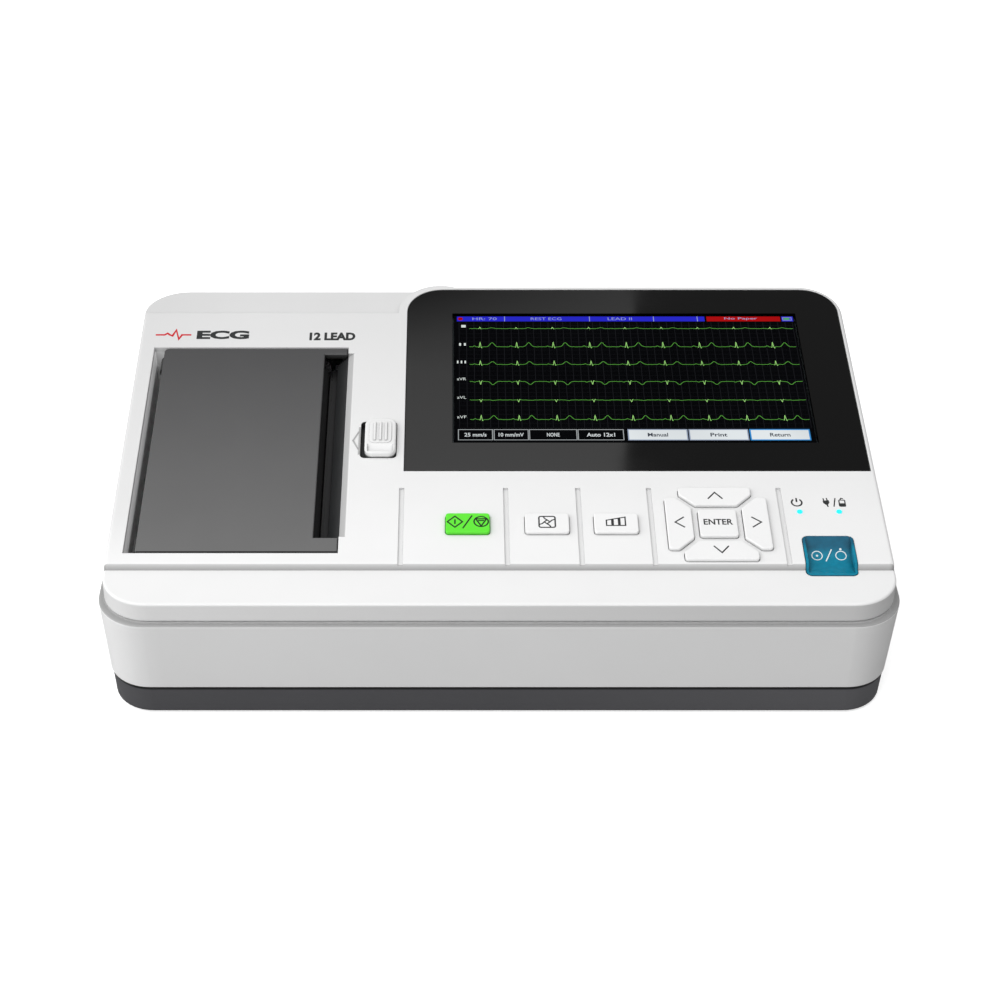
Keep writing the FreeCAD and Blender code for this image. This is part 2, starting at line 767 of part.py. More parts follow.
def lower_rear_deck(body, inset=0):
    """Drops the panel behind the paper window to a level deck, beside the taller rounded display corner."""
    top, front = deck_place()
    top -= inset
    left, right = -float(COVER_HALF_WIDTH) - 1, float(D.deck_right) + inset
    radius = float(D.corner_radius) - 1 - inset
    centre = (right + radius, float(COVER_HALF_DEPTH) - inset - radius)
    level_block(body, (left, front - inset, top), (right - left, 40, 20), cut=True)
    level_block(body, (right - 1, centre[1], top), (radius + 1, 40, 20), cut=True)
    upright(body, radius, 8, (*centre, top - 0.6))
    block(body, (right - 1, right + 2 * radius), around(D.deck_start, 30), (-inset, 12), cut=True)


def is_rim(edge):
    """Whether an edge belongs to the top's outline along the sides, rear corners and back."""
    room = edge.BoundBox
    return near(room.ZMax, 0) and near(room.ZMin, 0) and room.YMax > 100


def is_lip(edge):
    """Whether an edge belongs to the outline of the strip in front of the ridge."""
    room = edge.BoundBox
    return room.ZMin > -5 and room.YMin < -15 and room.YMax < 1 and edge.Length > 25


def cut_panel_openings(body):
    """Cuts the window, slot bevel, latch slot, display seat and divider grooves."""
    through = (-D.wall - 2, 2)
    block(body, (D.window_left, D.window_right), (D.window_front, D.window_rear), through, cut=True)
    bevel = [
        (D.window_right - 1, 1),
        (D.window_right - 1, 0.5 - D.wall),
        (D.window_right, 0.5 - D.wall),
        (D.window_right + D.slot_bevel, 0),
        (D.window_right + D.slot_bevel, 1),
    ]
    prism(body, bevel, (D.slot_front, D.slot_rear), plane="xz", cut=True)
    slot_x, slot_y = (D.latch_slot_left, D.latch_slot_right), (D.latch_front, D.latch_rear)
    carve_opening(body, "latch_opening", slot_x, slot_y, through, D.latch_slot_radius)
    seat = doc.addObject("PartDesign::Body", "glass_seat")
    seat_x = (D.glass_left - D.glass_gap, D.glass_right + D.glass_gap)
    seat_y = (D.glass_front - D.glass_gap, D.glass_rear + D.glass_gap)
    block(seat, seat_x, seat_y, (-D.glass_thickness, 2))
    soften(seat, D.glass_radius + D.glass_gap, lambda e: straight(e, Z_AXIS) and lies_at(e, y=seat_y[1]))
    carve(body, seat)
    rim = 2
    screen_x = (D.screen_left - rim, D.screen_right + rim)
    screen_y = (D.screen_front - rim, D.screen_rear + rim)
    block(body, screen_x, screen_y, through, cut=True)
    for x in DIVIDER_XS:
        block(body, around(x, D.divider_width / 2), (-1.5, D.divider_length), (-D.divider_depth, 2), cut=True)


def cut_key_openings(body):
    """Cuts an opening for every key and lamp, a little larger than what moves in it."""
    through = (-D.wall - 2, 2)
    outlines = key_outlines()
    for outline in outlines.values():
        prism(body, grow(outline, D.key_gap), through, cut=True)
    last = float(D.divider_length)

    def key_corner(edge):
        place = edge.CenterOfMass
        through_wall = straight(edge, Z_AXIS) and near(edge.Length, D.wall)
        return through_wall and -25 < place.x < 115 and 1 < place.y < last

    soften(body, D.key_radius, key_corner)
    for x in (D.lamp_power_x, D.lamp_supply_x):
        bar(body, D.lamp_radius + D.running_gap, D.wall + 3, (x, D.lamp_row, -D.wall - 1), cut=True)
    power_x = (D.power_left - D.key_gap, D.power_right + D.key_gap)
    power_y = (D.power_front - D.key_gap, D.power_rear + D.key_gap)
    carve_opening(body, "power_opening", power_x, power_y, (-8, 3), D.power_radius + D.key_gap)


def add_cover_posts(body):
    """Adds the bosses for the case screws, the posts under the key board and the latch spring's post."""
    foot = float(BASE_TOP - D.wall) + 0.6
    slope = math.tan(math.radians(float(D.panel_slope)))
    for x, y in SCREW_PLACES:
        roof = float(D.ridge_height) - 2.1 + (y + float(D.ridge_setback)) * slope
        if y < -float(D.ridge_setback):
            roof = float(D.ridge_height - D.step_height) - 2
        if x < float(D.deck_right) and y > 0:
            roof = deck_place()[0] - 2
        upright(body, D.boss_radius, roof - foot, (x, y, foot))
        upright(body, D.screw_radius + D.running_gap, 13, (x, y, foot - 1), cut=True)
    for x, y in POST_PLACES:
        bar(body, 2, 5.4, (x, y, -7.1))
    block(body, (-34, -32.5), (74, 80), (-8, -2))


# ---------------------------------------------------------------- keys and lamps


def rectangle(x, y, half_x, half_y):
    """The corners of an upright rectangle."""
    left, right = x - half_x, x + half_x
    front, rear = y - half_y, y + half_y
    return [(left, front), (right, front), (right, rear), (left, rear)]


def pad_outline(quarter_turns):
    """One of the four direction keys: its long side faces out and its flanks run at 45 degrees."""
    shoulder = D.pad_inner + D.pad_long_half - D.pad_short_half
    corners = [
        (-D.pad_short_half, D.pad_inner),
        (D.pad_short_half, D.pad_inner),
        (D.pad_long_half, shoulder),
        (D.pad_long_half, D.pad_reach),
        (-D.pad_long_half, D.pad_reach),
        (-D.pad_long_half, shoulder),
    ]
    for _ in range(quarter_turns):
        corners = [(-v, u) for u, v in corners]
    return [(D.pad_x + u, D.key_row + v) for u, v in corners]


def key_outlines():
    """The outline of every key that stands in the flat panel."""
    shape = (D.key_row, D.key_half_width, D.key_half_length)
    return {
        "start_key": rectangle(D.start_key_x, *shape),
        "trace_key": rectangle(D.trace_key_x, *shape),
        "gain_key": rectangle(D.gain_key_x, *shape),
        "enter_key": rectangle(D.pad_x, D.key_row, D.enter_half, D.enter_half),
        "up_key": pad_outline(0),
        "left_key": pad_outline(1),
        "down_key": pad_outline(2),
        "right_key": pad_outline(3),
    }


def grow(outline, margin):
    """An outline pushed outwards by a margin on every side."""
    points = [FreeCAD.Vector(float(u), float(v), 0) for u, v in outline]
    count = len(points)
    grown = []
    for i, (u, v) in enumerate(outline):
        arriving = (points[i] - points[i - 1]).normalize()
        leaving = (points[(i + 1) % count] - points[i]).normalize()
        first = FreeCAD.Vector(arriving.y, -arriving.x, 0)
        second = FreeCAD.Vector(leaving.y, -leaving.x, 0)
        push = (first + second) * (1 / (1 + first.dot(second)))
        grown.append((u + margin * push.x, v + margin * push.y))
    return grown


def make_keys():
    """Keycaps that stand proud of the panel, each with a retaining flange below the skin."""
    flange_top = -D.wall - 0.1
    for label, outline in key_outlines().items():
        body = new_body(label, panel=True)
        prism(body, outline, (flange_top, D.key_height))
        soften(body, D.key_radius - D.key_gap, lambda e: straight(e, Z_AXIS))
        soften(body, D.key_edge, lambda e: lies_at(e, z=D.key_height))
        prism(body, grow(outline, D.flange_reach - 0.2), (flange_top - D.flange_thickness, flange_top))


def make_power_key():
    """The wide key that bridges the step at the front of the panel, hollowed for a fingertip."""
    body = new_body("power_key", panel=True)
    proud = 0.25
    profile = [
        (D.power_front, D.power_bottom),
        (D.power_rear, D.power_bottom),
        (D.power_rear, proud),
        (D.ridge_back + 0.2, proud),
        (D.ridge_back - D.step_lean - 0.1, proud - D.step_height - 0.1),
        (D.power_front, proud - D.step_height + 0.32),
    ]
    prism(body, profile, (D.power_left, D.power_right), plane="yz")
    soften(body, D.power_radius, lambda e: straight(e, Z_AXIS))
    side_wall = 1.1
    place = (D.power_left + side_wall, D.scoop_y, D.scoop_z)
    length = D.power_right - D.power_left - 2 * side_wall
    bar(body, D.scoop_radius, length, place, axis="x", cut=True)
    flange_x = (D.power_left - D.flange_reach, D.power_right + D.flange_reach)
    flange_z = (D.power_bottom, D.power_bottom + D.flange_thickness)
    block(body, flange_x, (3, D.power_rear + D.flange_reach), flange_z)


def make_indicator_lenses():
    """Two light pipes that carry the power and supply lamps to the panel."""
    solids = []
    for x in (D.lamp_power_x, D.lamp_supply_x):
        low = -float(D.wall) - 1.3
        pipe = solid_bar(D.lamp_radius, 0.3 - low, (x, D.lamp_row, low))
        flange = solid_bar(D.lamp_radius + 0.8, 1.2, (x, D.lamp_row, low))
        solids.append(pipe.fuse(flange))
    group("indicator_lenses", solids, panel=True)


def make_keypad():
    """The rubber dome mat under the keys and the switch board below it."""
    mat = new_body("keypad_mat", panel=True)
    block(mat, (-24.5, 113.7), (D.key_row - D.pad_reach, D.key_row + D.pad_reach), (-7, -6))
    reach = (D.pad_reach + D.pad_inner) / 2
    places = [(x, D.key_row) for x in (D.start_key_x, D.trace_key_x, D.gain_key_x, D.pad_x)]
    places += [(D.pad_x, D.key_row + reach), (D.pad_x, D.key_row - reach)]
    places += [(D.pad_x + reach, D.key_row), (D.pad_x - reach, D.key_row)]
    for x, y in places:
        bar(mat, 3.2, 1.9, (x, y, -6.5))
    board = new_body("keypad_board", panel=True)
    block(board, (-32, 150), (2.5, D.divider_length + 1), (-7.1 - D.board_sheet, -7.1))


# ---------------------------------------------------------------- display


def make_display():
    """The cover glass with two large rear corners, and the display module behind it."""
    glass = new_body("display_glass", panel=True)
    top = -0.05
    sheet = (0.02 - D.glass_thickness, top)
    block(glass, (D.glass_left, D.glass_right), (D.glass_front, D.glass_rear), sheet)
    soften(glass, D.glass_radius, lambda e: straight(e, Z_AXIS) and lies_at(e, y=D.glass_rear))
    soften(glass, 0.25, lambda e: lies_at(e, z=top), chamfer=True)
    module = new_body("display_module", panel=True)
    x = (D.screen_left - D.screen_frame, D.screen_right + D.screen_frame)
    y = (D.screen_front - D.screen_frame, D.screen_rear + D.screen_frame)
    back = -D.wall - 0.05
    block(module, x, y, (back - D.screen_thickness, back))
    face = 1.7
    face_x = (D.screen_left - face, D.screen_right + face)
    face_y = (D.screen_front - face, D.screen_rear + face)
    block(module, face_x, face_y, (back - 1, -D.glass_thickness - 0.1))


# ---------------------------------------------------------------- paper door and platen


def make_paper_door():
    """The tinted door: a plate with the paper slot in its free edge, knuckles, cheeks and catches."""
    body = new_body("paper_door", panel=True)
    under = -D.door_recess - D.door_thickness
    block(
        body,
        (D.door_left, D.window_right - D.door_gap),
        (D.window_front + D.door_gap, D.window_rear - D.door_gap),
        (under, -D.door_recess),
    )
    soften(body, 2, lambda e: straight(e, Z_AXIS) and lies_at(e, x=D.door_left))
    block(body, (D.slot_left, D.window_right + 1), (D.slot_front, D.slot_rear), (-4, 1), cut=True)
    soften(body, 0.3, lambda e: lies_at(e, z=-D.door_recess), chamfer=True)
    for y in (D.window_front + 3.7, D.window_rear - 3.7 - D.knuckle_length):
        bar(body, D.knuckle_radius, D.knuckle_length, (D.hinge_x, y, D.hinge_z), axis="y")
        arm_x = (D.hinge_x - 0.4, D.hinge_x + D.knuckle_radius)
        block(body, arm_x, (y, y + D.knuckle_length), (D.hinge_z, -D.door_recess - 1))
    bore = (D.hinge_x, D.window_front - 1, D.hinge_z)
    length = D.window_rear - D.window_front + 2
    bar(body, D.hinge_pin_radius + D.running_gap, length, bore, axis="y", cut=True)
    cheek = [
        (D.platen_x - 6, -D.door_recess - 1),
        (D.platen_x - 6, D.platen_z + 1),
        (D.platen_x - 3.5, D.platen_z - 4.2),
        (D.platen_x + 3.5, D.platen_z - 4.2),
        (D.slot_left, D.platen_z + 1),
        (D.slot_left, -D.door_recess - 1),
    ]
    for y in (D.cheek_front, D.cheek_rear):
        prism(body, cheek, (y, y + D.cheek_width), plane="xz")
    seat = (D.platen_x, D.cheek_front - 1, D.platen_z)
    bar(body, D.bush_radius + 0.02, D.cheek_rear - D.cheek_front + 4, seat, axis="y", cut=True)
    tab = [
        (D.catch_left, -D.door_recess - 1),
        (D.catch_left, 1.5 - D.catch_depth),
        (D.catch_nose, 1.5 - D.catch_depth),
        (D.catch_nose, -D.catch_depth),
        (D.catch_left + 1.6, -D.catch_depth),
        (D.catch_left + 1.6, -D.door_recess - 1),
    ]
    for y in catch_spans():
        prism(body, tab, y, plane="xz")
    for x in (-136, -118, -100):
        rib_y = (D.window_front + 16, D.window_rear - 16)
        block(body, (x, x + 1.2), rib_y, (under - 1.6, -D.door_recess - 1))
    return body


def catch_spans():
    """Where the two catches stand along the slope, just outside the paper's width."""
    front = D.window_front + 1.2
    rear = D.window_rear - 0.6
    return (front, front + D.hook_width), (rear - D.hook_width, rear)


def make_hinge_pin():
    """The steel pin that the door turns on, held by the paper tray's end walls."""
    body = new_body("door_hinge_pin", panel=True)
    start = (D.hinge_x, D.window_front - D.tray_wall, D.hinge_z)
    length = D.window_rear - D.window_front + 2 * D.tray_wall
    bar(body, D.hinge_pin_radius, length, start, axis="y")
    soften(body, 0.3, is_circle, chamfer=True)


def make_platen():
    """The platen: steel shaft, rubber sleeve and the two bushes it turns in."""
    shaft = new_body("platen_shaft", panel=True)
    start = (D.platen_x, D.cheek_front - 1.2, D.platen_z)
    bar(shaft, D.platen_shaft_radius, D.gear_front + D.gear_width - D.cheek_front + 1.2, start, axis="y")
    soften(shaft, 0.3, is_circle, chamfer=True)
    rubber = new_body("platen_rubber", panel=True)
    length = D.platen_rear - D.platen_front
    start = (D.platen_x, D.platen_front, D.platen_z)
    bar(rubber, D.platen_radius, length, start, axis="y")
    soften(rubber, 0.4, is_circle)
    bar(rubber, D.platen_shaft_radius, length, start, axis="y", cut=True)
    rings = []
    for y in (D.cheek_front, D.cheek_rear):
        place = (D.platen_x, y, D.platen_z)
        ring = solid_bar(D.bush_radius, D.cheek_width, place, Y_AXIS)
        rings.append(ring.cut(solid_bar(D.platen_shaft_radius + D.running_gap, D.cheek_width, place, Y_AXIS)))
    group("platen_bushes", rings, panel=True)


# ---------------------------------------------------------------- gear train and motor


def involute_gear(teeth, centre, phase, bore):
    """A spur gear with involute flanks and a little backlash; a tooth's middle points at phase."""
    module = float(D.gear_module)
    pressure = math.radians(20)
    pitch = module * teeth / 2
    base = pitch * math.cos(pressure)
    tip = pitch + 0.9 * module
    root = pitch - 1.25 * module
    backlash = 0.1
    half = (math.pi * module / 2 - backlash) / (2 * pitch) + math.tan(pressure) - pressure
    start = max(base, root)
    steps = 6
    flank = []
    for i in range(steps + 1):
        r = start + (tip - start) * i / steps
        roll = math.acos(min(1.0, base / r))
        flank.append((r, half - math.tan(roll) + roll))
    outline = []
    for tooth in range(teeth):
        middle = phase + 2 * math.pi * tooth / teeth
        outline.append((root, middle - half - 0.02))
        outline += [(r, middle - angle) for r, angle in flank]
        outline += [(r, middle + angle) for r, angle in reversed(flank)]
        outline.append((root, middle + half + 0.02))
    y = float(D.gear_front)
    corners = [
        FreeCAD.Vector(centre[0] + r * math.cos(angle), y, centre[1] + r * math.sin(angle))
        for r, angle in outline
    ]
    face = Part.Face(Part.makePolygon(corners + corners[:1]))
    gear = face.extrude(FreeCAD.Vector(0, float(D.gear_width), 0))
    return gear.cut(solid_bar(bore, D.gear_width + 2, (centre[0], y - 1, centre[1]), Y_AXIS))


def gear_centres():
    """The platen gear's, idler's and pinion's centres in the panel frame, as x and z."""
    platen = (float(D.platen_x), float(D.platen_z))
    reach = float(D.gear_module * (D.platen_teeth + D.idler_teeth) / 2)
    angle = math.radians(float(D.idler_angle))
    idler = (platen[0] + reach * math.cos(angle), platen[1] + reach * math.sin(angle))
    reach = float(D.gear_module * (D.idler_teeth + D.pinion_teeth) / 2)
    angle = math.radians(float(D.pinion_angle))
    pinion = (idler[0] + reach * math.cos(angle), idler[1] + reach * math.sin(angle))
    return platen, idler, pinion


def make_gear_train():
    """Platen gear, idler on its stud and the motor's pinion, all in mesh at rest."""
    platen, idler, pinion = gear_centres()
    down = math.radians(float(D.idler_angle))
    across = math.radians(float(D.pinion_angle))
    idler_teeth = int(float(D.idler_teeth))
    pinion_teeth = int(float(D.pinion_teeth))
    gear = involute_gear(int(float(D.platen_teeth)), platen, down, float(D.platen_shaft_radius))
    group("platen_gear", [gear], panel=True)
    idler_phase = down + math.pi + math.pi / idler_teeth
    idler_bore = float(D.idler_stud_radius + D.running_gap)
    group("idler_gear", [involute_gear(idler_teeth, idler, idler_phase, idler_bore)], panel=True)
    past_tooth = (across - idler_phase) * idler_teeth / pinion_teeth
    pinion_phase = across + math.pi + math.pi / pinion_teeth + past_tooth
    gear = involute_gear(pinion_teeth, pinion, pinion_phase, float(D.motor_shaft_radius))
    group("motor_pinion", [gear], panel=True)
    stud_length = D.gear_front + D.gear_width + 0.6 - D.frame_rear
    stud = solid_bar(D.idler_stud_radius, stud_length, (idler[0], D.frame_rear, idler[1]), Y_AXIS)
    collar_start = (idler[0], D.frame_rear + D.frame_sheet, idler[1])
    collar_length = D.gear_front - D.frame_rear - D.frame_sheet - 0.1
    collar = solid_bar(D.idler_stud_radius + 1.2, collar_length, collar_start, Y_AXIS)
    group("idler_stud", [stud.fuse(collar)], panel=True)
    make_motor(pinion)


def make_motor(pinion):
    """The stepping motor's can and its shaft."""
    rear = float(D.frame_rear) - 0.02
    front = rear - float(D.motor_length)
    can = solid_bar(D.motor_radius, D.motor_length, (pinion[0], front, pinion[1]), Y_AXIS)
    can = can.makeFillet(0.8, [e for e in can.Edges if e.BoundBox.YMax < front + 0.01])
    bore = solid_bar(D.motor_shaft_radius + D.running_gap, 40, (pinion[0], front + 2, pinion[1]), Y_AXIS)
    group("print_motor", [can.cut(bore)], panel=True)
    length = D.gear_front + D.gear_width - front - 2.5
    shaft = solid_bar(D.motor_shaft_radius, length, (pinion[0], front + 2.5, pinion[1]), Y_AXIS)
    group("motor_shaft", [shaft], panel=True)


# ---------------------------------------------------------------- print head and its frame


def head_point(x, z):
    """A point of the head's own tilted frame, whose origin is where it meets the paper."""
    tilt = math.radians(float(D.head_tilt))
    reach = float(D.platen_radius + D.head_gap)
    origin_x = float(D.platen_x) + reach * math.cos(tilt)
    origin_z = float(D.platen_z) - reach * math.sin(tilt)
    turned_x = x * math.cos(tilt) + z * math.sin(tilt)
    turned_z = z * math.cos(tilt) - x * math.sin(tilt)
    return origin_x + turned_x, origin_z + turned_z


def head_block(x, z, y):
    """A block of the head's tilted frame, over a span along the slope."""
    corners = [head_point(x[0], z[0]), head_point(x[1], z[0]), head_point(x[1], z[1]), head_point(x[0], z[1])]
    wire = Part.makePolygon([FreeCAD.Vector(u, y[0], w) for u, w in corners + corners[:1]])
    return Part.Face(wire).extrude(FreeCAD.Vector(0, y[1] - y[0], 0))


def make_print_head():
    """The thermal head: a ceramic strip on a finned aluminium block that rocks on a pin."""
    front, rear = float(D.head_front), float(D.head_rear)
    strip = head_block((0, 1), (-8, 3.6), (front, rear))
    driver = head_block((-0.9, 0.1), (-7.6, -5), (front + 4, rear - 4))
    group("print_head", [strip.fuse(driver)], panel=True)
    sink = head_block((1, 5), (-9.5, 3.6), (front, rear))
    for z in (-7, -4, -1):
        sink = sink.cut(head_block((3.6, 5.1), (z, z + 1.4), (front - 1, rear + 1)))
    pin = (float(D.head_pin_x), float(D.head_pin_z))
    for y in (front, front + 78):
        lug = solid_bar(2.6, 6, (pin[0], y, pin[1]), Y_AXIS)
        arm = head_block((1.2, 4.8), (-12.2, -9), (y, y + 6))
        sink = sink.fuse(lug).fuse(arm)
    bore = solid_bar(D.head_pin_radius + D.running_gap, rear - front + 2, (pin[0], front - 1, pin[1]), Y_AXIS)
    group("head_heat_sink", [sink.cut(bore).removeSplitter()], panel=True)
    start = (pin[0], D.frame_front - 0.3, pin[1])
    length = D.frame_rear + D.frame_sheet - D.frame_front + 0.6
    group("head_pivot_pin", [solid_bar(D.head_pin_radius, length, start, Y_AXIS)], panel=True)


def coil_spring(radius, wire, length, turns, start, direction):
    """A round-wire helical spring that runs from start along a direction."""
    helix = Part.makeHelix(length / turns, length, radius)
    section = Part.Wire(Part.makeCircle(wire, FreeCAD.Vector(radius, 0, 0), Y_AXIS))
    spring = Part.Wire(helix.Edges).makePipeShell([section], True, True)
    spring.Placement = FreeCAD.Placement(start, FreeCAD.Rotation(Z_AXIS, direction))
    return spring


def make_springs():
    """Three springs that press the head on to the platen, and the latch's return spring."""
    solids = []
    wire = 0.3
    wall_x = float(D.frame_right - D.frame_sheet)
    for y in (38, 75, 108):
        x, z = head_point(5 + wire + 0.1, -2)
        solids.append(coil_spring(2, wire, wall_x - x - wire - 0.1, 5, FreeCAD.Vector(x, y, z), X_AXIS))
    group("head_springs", solids, panel=True)
    start = FreeCAD.Vector(float(D.knob_right) + 1.95, 77, -6.4)
    length = -34 - 0.35 - start.x
    group("latch_spring", [coil_spring(1.2, 0.25, length, 5, start, X_AXIS)], panel=True)


def make_mechanism_frame():
    """The bent steel frame that carries the motor, idler, head pin and springs."""
    body = new_body("mechanism_frame", panel=True)
    floor = (D.frame_floor, D.frame_floor + D.frame_sheet)
    x = (D.frame_left, D.frame_right)
    rear = D.frame_rear + D.frame_sheet
    block(body, x, (D.frame_front, rear), floor)
    block(body, x, (D.frame_front, D.frame_front + D.frame_sheet), (D.frame_floor, D.frame_side_top))
    block(body, x, (D.frame_rear, rear), (D.frame_floor, D.frame_side_top))
    block(body, (D.frame_right - D.frame_sheet, D.frame_right), (D.frame_front, rear), (D.frame_floor, -8))
    _, idler, pinion = gear_centres()
    through = D.frame_rear - 1
    pin = (D.head_pin_x, D.frame_front - 1, D.head_pin_z)
    bar(body, D.head_pin_radius + 0.02, rear - D.frame_front + 2, pin, axis="y", cut=True)
    bar(body, D.idler_stud_radius + 0.02, 4, (idler[0], through, idler[1]), axis="y", cut=True)
    bar(body, D.motor_shaft_radius + 1.5, 4, (pinion[0], through, pinion[1]), axis="y", cut=True)
    block(body, (D.frame_right - 3, D.frame_right + 1), (56, 92), (-44, -38), cut=True)
    for y in (D.frame_front + 14, D.frame_rear - 12):
        bar(body, 1.7, 4, (D.frame_left + 6, y, D.frame_floor - 1), cut=True)


def make_tear_bar():
    """The dark sloping lip below the slot that guides paper out and tears it off."""
    body = new_body("tear_bar", panel=True)
    profile = [
        (D.window_right - 0.1, 0.5 - D.wall),
        (D.window_right - 4.9, -6.8),
        (D.window_right - 3.4, -6.8),
        (D.window_right + 1.1, -4.4),
        (D.window_right + 1.1, -D.wall - 0.03),
        (D.window_right - 0.1, -D.wall - 0.03),
    ]
    prism(body, profile, (D.slot_front + 0.8, D.slot_rear - 0.8), plane="xz")


def make_head_cable():
    """The flat cable from the head, out through the frame to the main board."""
    thickness = 0.3
    path = [(-74.2, -20.5), (-74.2, -40.5), (-54, -40.5), (-47.5, -44)]
    under = [(x, z - thickness) for x, z in reversed(path[2:])]
    inner = [(path[1][0] - thickness, path[1][1] - thickness), (path[0][0] - thickness, path[0][1])]
    corners = [FreeCAD.Vector(x, 60, z) for x, z in path + under + inner]
    strip = Part.Face(Part.makePolygon(corners + corners[:1])).extrude(FreeCAD.Vector(0, 28, 0))
    group("head_ribbon_cable", [strip], panel=True)


# ---------------------------------------------------------------- paper tray and latch


def make_paper_tray():
    """The open box below the door that holds the folded paper."""
    body = new_body("paper_tray", panel=True)
    outer_x = (D.window_left - D.tray_wall, D.tray_right + D.tray_wall)
    outer_y = (D.window_front - D.tray_wall, D.window_rear + D.tray_wall)
    block(body, outer_x, outer_y, (-D.tray_depth, -D.wall - 0.02))
    inner_x = (D.window_left, D.tray_right)
    inner_y = (D.window_front, D.window_rear)
    block(body, inner_x, inner_y, (D.tray_wall - D.tray_depth, 1), cut=True)
    right_x = (D.tray_right - 1, D.tray_right + D.tray_wall + 1)
    block(body, right_x, (outer_y[0] - 1, outer_y[1] + 1), (-20, 1), cut=True)
    start = (D.hinge_x, outer_y[0] - 1, D.hinge_z)
    bar(body, D.hinge_pin_radius + 0.02, outer_y[1] - outer_y[0] + 2, start, axis="y", cut=True)
    floor = D.tray_wall - D.tray_depth
    for x in (-140, -122, -104):
        block(body, (x, x + 1.5), inner_y, (floor - 0.5, floor + 0.8))


def make_latch():
    """The ribbed knob and the sheet slider, whose two hooks hold the door's catches."""
    knob = new_body("latch_knob", panel=True)
    knob_y = (D.latch_front + 0.5, D.latch_rear - 0.5)
    shoulder = D.knob_height - 0.35
    block(knob, (D.knob_left, D.knob_right), knob_y, (D.slider_top, shoulder))
    soften(knob, D.knob_radius, lambda e: straight(e, Z_AXIS))
    soften(knob, 0.9, lambda e: lies_at(e, z=shoulder))
    scoop = (D.knob_left + 1.2, knob_y[0] + 3.4, shoulder + 2.5)
    bar(knob, 3.5, D.knob_right - D.knob_left - 2.4, scoop, axis="x", cut=True)
    pad_x = (D.knob_left + 1.9, D.knob_right - 1.9)
    pad_y = (knob_y[0] + 6.2, knob_y[1] - 2.1)
    block(knob, pad_x, pad_y, (D.knob_height - 1, D.knob_height))
    soften(knob, 2.4, lambda e: straight(e, Z_AXIS) and (lies_at(e, x=pad_x[0]) or lies_at(e, x=pad_x[1])))
    soften(knob, 0.25, lambda e: lies_at(e, z=D.knob_height))
    middle = (D.knob_left + D.knob_right) / 2
    for side in (-1, 0, 1):
        rib_x = around(middle + side * 2.4, 0.45)
        block(knob, rib_x, (pad_y[0] + 1.2, pad_y[1] - 1.6), (shoulder, D.knob_height + D.rib_height))
    soften(knob, 0.2, lambda e: lies_at(e, z=D.knob_height + D.rib_height) and straight(e, Y_AXIS))
    slider = new_body("latch_slider", panel=True)
    sheet_z = (D.slider_top - D.slider_sheet, D.slider_top)
    front, rear = catch_spans()
    block(slider, (D.hook_riser, D.hook_riser + 7.5), (front[0], rear[1]), sheet_z)
    block(slider, (D.hook_riser + 1, D.knob_right + 2), (D.latch_front - 3, D.latch_rear + 3), sheet_z)
    block(slider, (D.knob_right, D.knob_right + 1.5), (74, 80), (-8, D.slider_top - 1))
    low = -D.catch_depth - 2
    top = -D.catch_depth + 3.2
    nose = top - 1.5
    hook = [
        (D.hook_riser + D.hook_sheet, D.slider_top - 0.5),
        (D.hook_riser, D.slider_top - 0.5),
        (D.hook_riser, low),
        (D.hook_arm + D.hook_sheet, low),
        (D.hook_arm + D.hook_sheet, nose),
        (D.hook_nose, nose),
        (D.hook_nose, top),
        (D.hook_arm, top),
        (D.hook_arm, low - D.hook_sheet),
        (D.hook_riser + D.hook_sheet, low - D.hook_sheet),
    ]
    for y in (front, rear):
        prism(slider, hook, y, plane="xz")


# ---------------------------------------------------------------- electronics and sockets


def make_main_board():
    """The main circuit board and the components that stand on it."""
    body = new_body("main_board")
    outline = [(-45, -75), (150, -75), (150, 2), (58, 2), (58, 96), (-28, 96), (-28, 40), (-45, 40)]
    prism(body, outline, (D.board_level, D.board_level + D.board_sheet))
    top = float(D.board_level + D.board_sheet)
    solids = []
    for x, y, w, d, h in (
        (20, 20, 24, 24, 2), (-12, -20, 14, 20, 1.6), (100, -55, 12, 12, 1.4), (124, -36, 18, 10, 1.6),
        (60, -58, 20, 14, 3), (10, -58, 10, 10, 1.2), (36, -6, 9, 14, 1.6),
    ):
        solids.append(solid_block((x - w / 2, x + w / 2), (y - d / 2, y + d / 2), (top, top + h)))
    cans = [(-30, -40, 4, 12), (-30, -52, 4, 12), (80, -62, 5, 14), (92, -62, 5, 14), (40, 50, 4, 10)]
    for x, y, r, h in cans:
        can = solid_bar(r, h, (x, y, top))
        solids.append(can.makeFillet(0.6, [e for e in can.Edges if e.BoundBox.ZMin > top + h - 0.01]))
    for x, y, w, d, h in ((-36, 0, 8, 30, 6), (50, 70, 8, 26, 7), (-10, 64, 22, 6, 6)):
        solids.append(solid_block((x - w / 2, x + w / 2), (y - d / 2, y + d / 2), (top, top + h)))
    group("board_components", solids)


def make_power_supply():
    """The mains power supply in its folded metal case, with vents along its top."""
    body = new_body("power_supply")
    block(body, (64, 150), (12, 80), (FLOOR_TOP + 0.5, 36))
    soften(body, 1.5, lambda e: straight(e, Y_AXIS))
    for row in range(8):
        x = 74 + 9 * row
        block(body, (x, x + 4), (22, 70), (34.8, 37), cut=True)


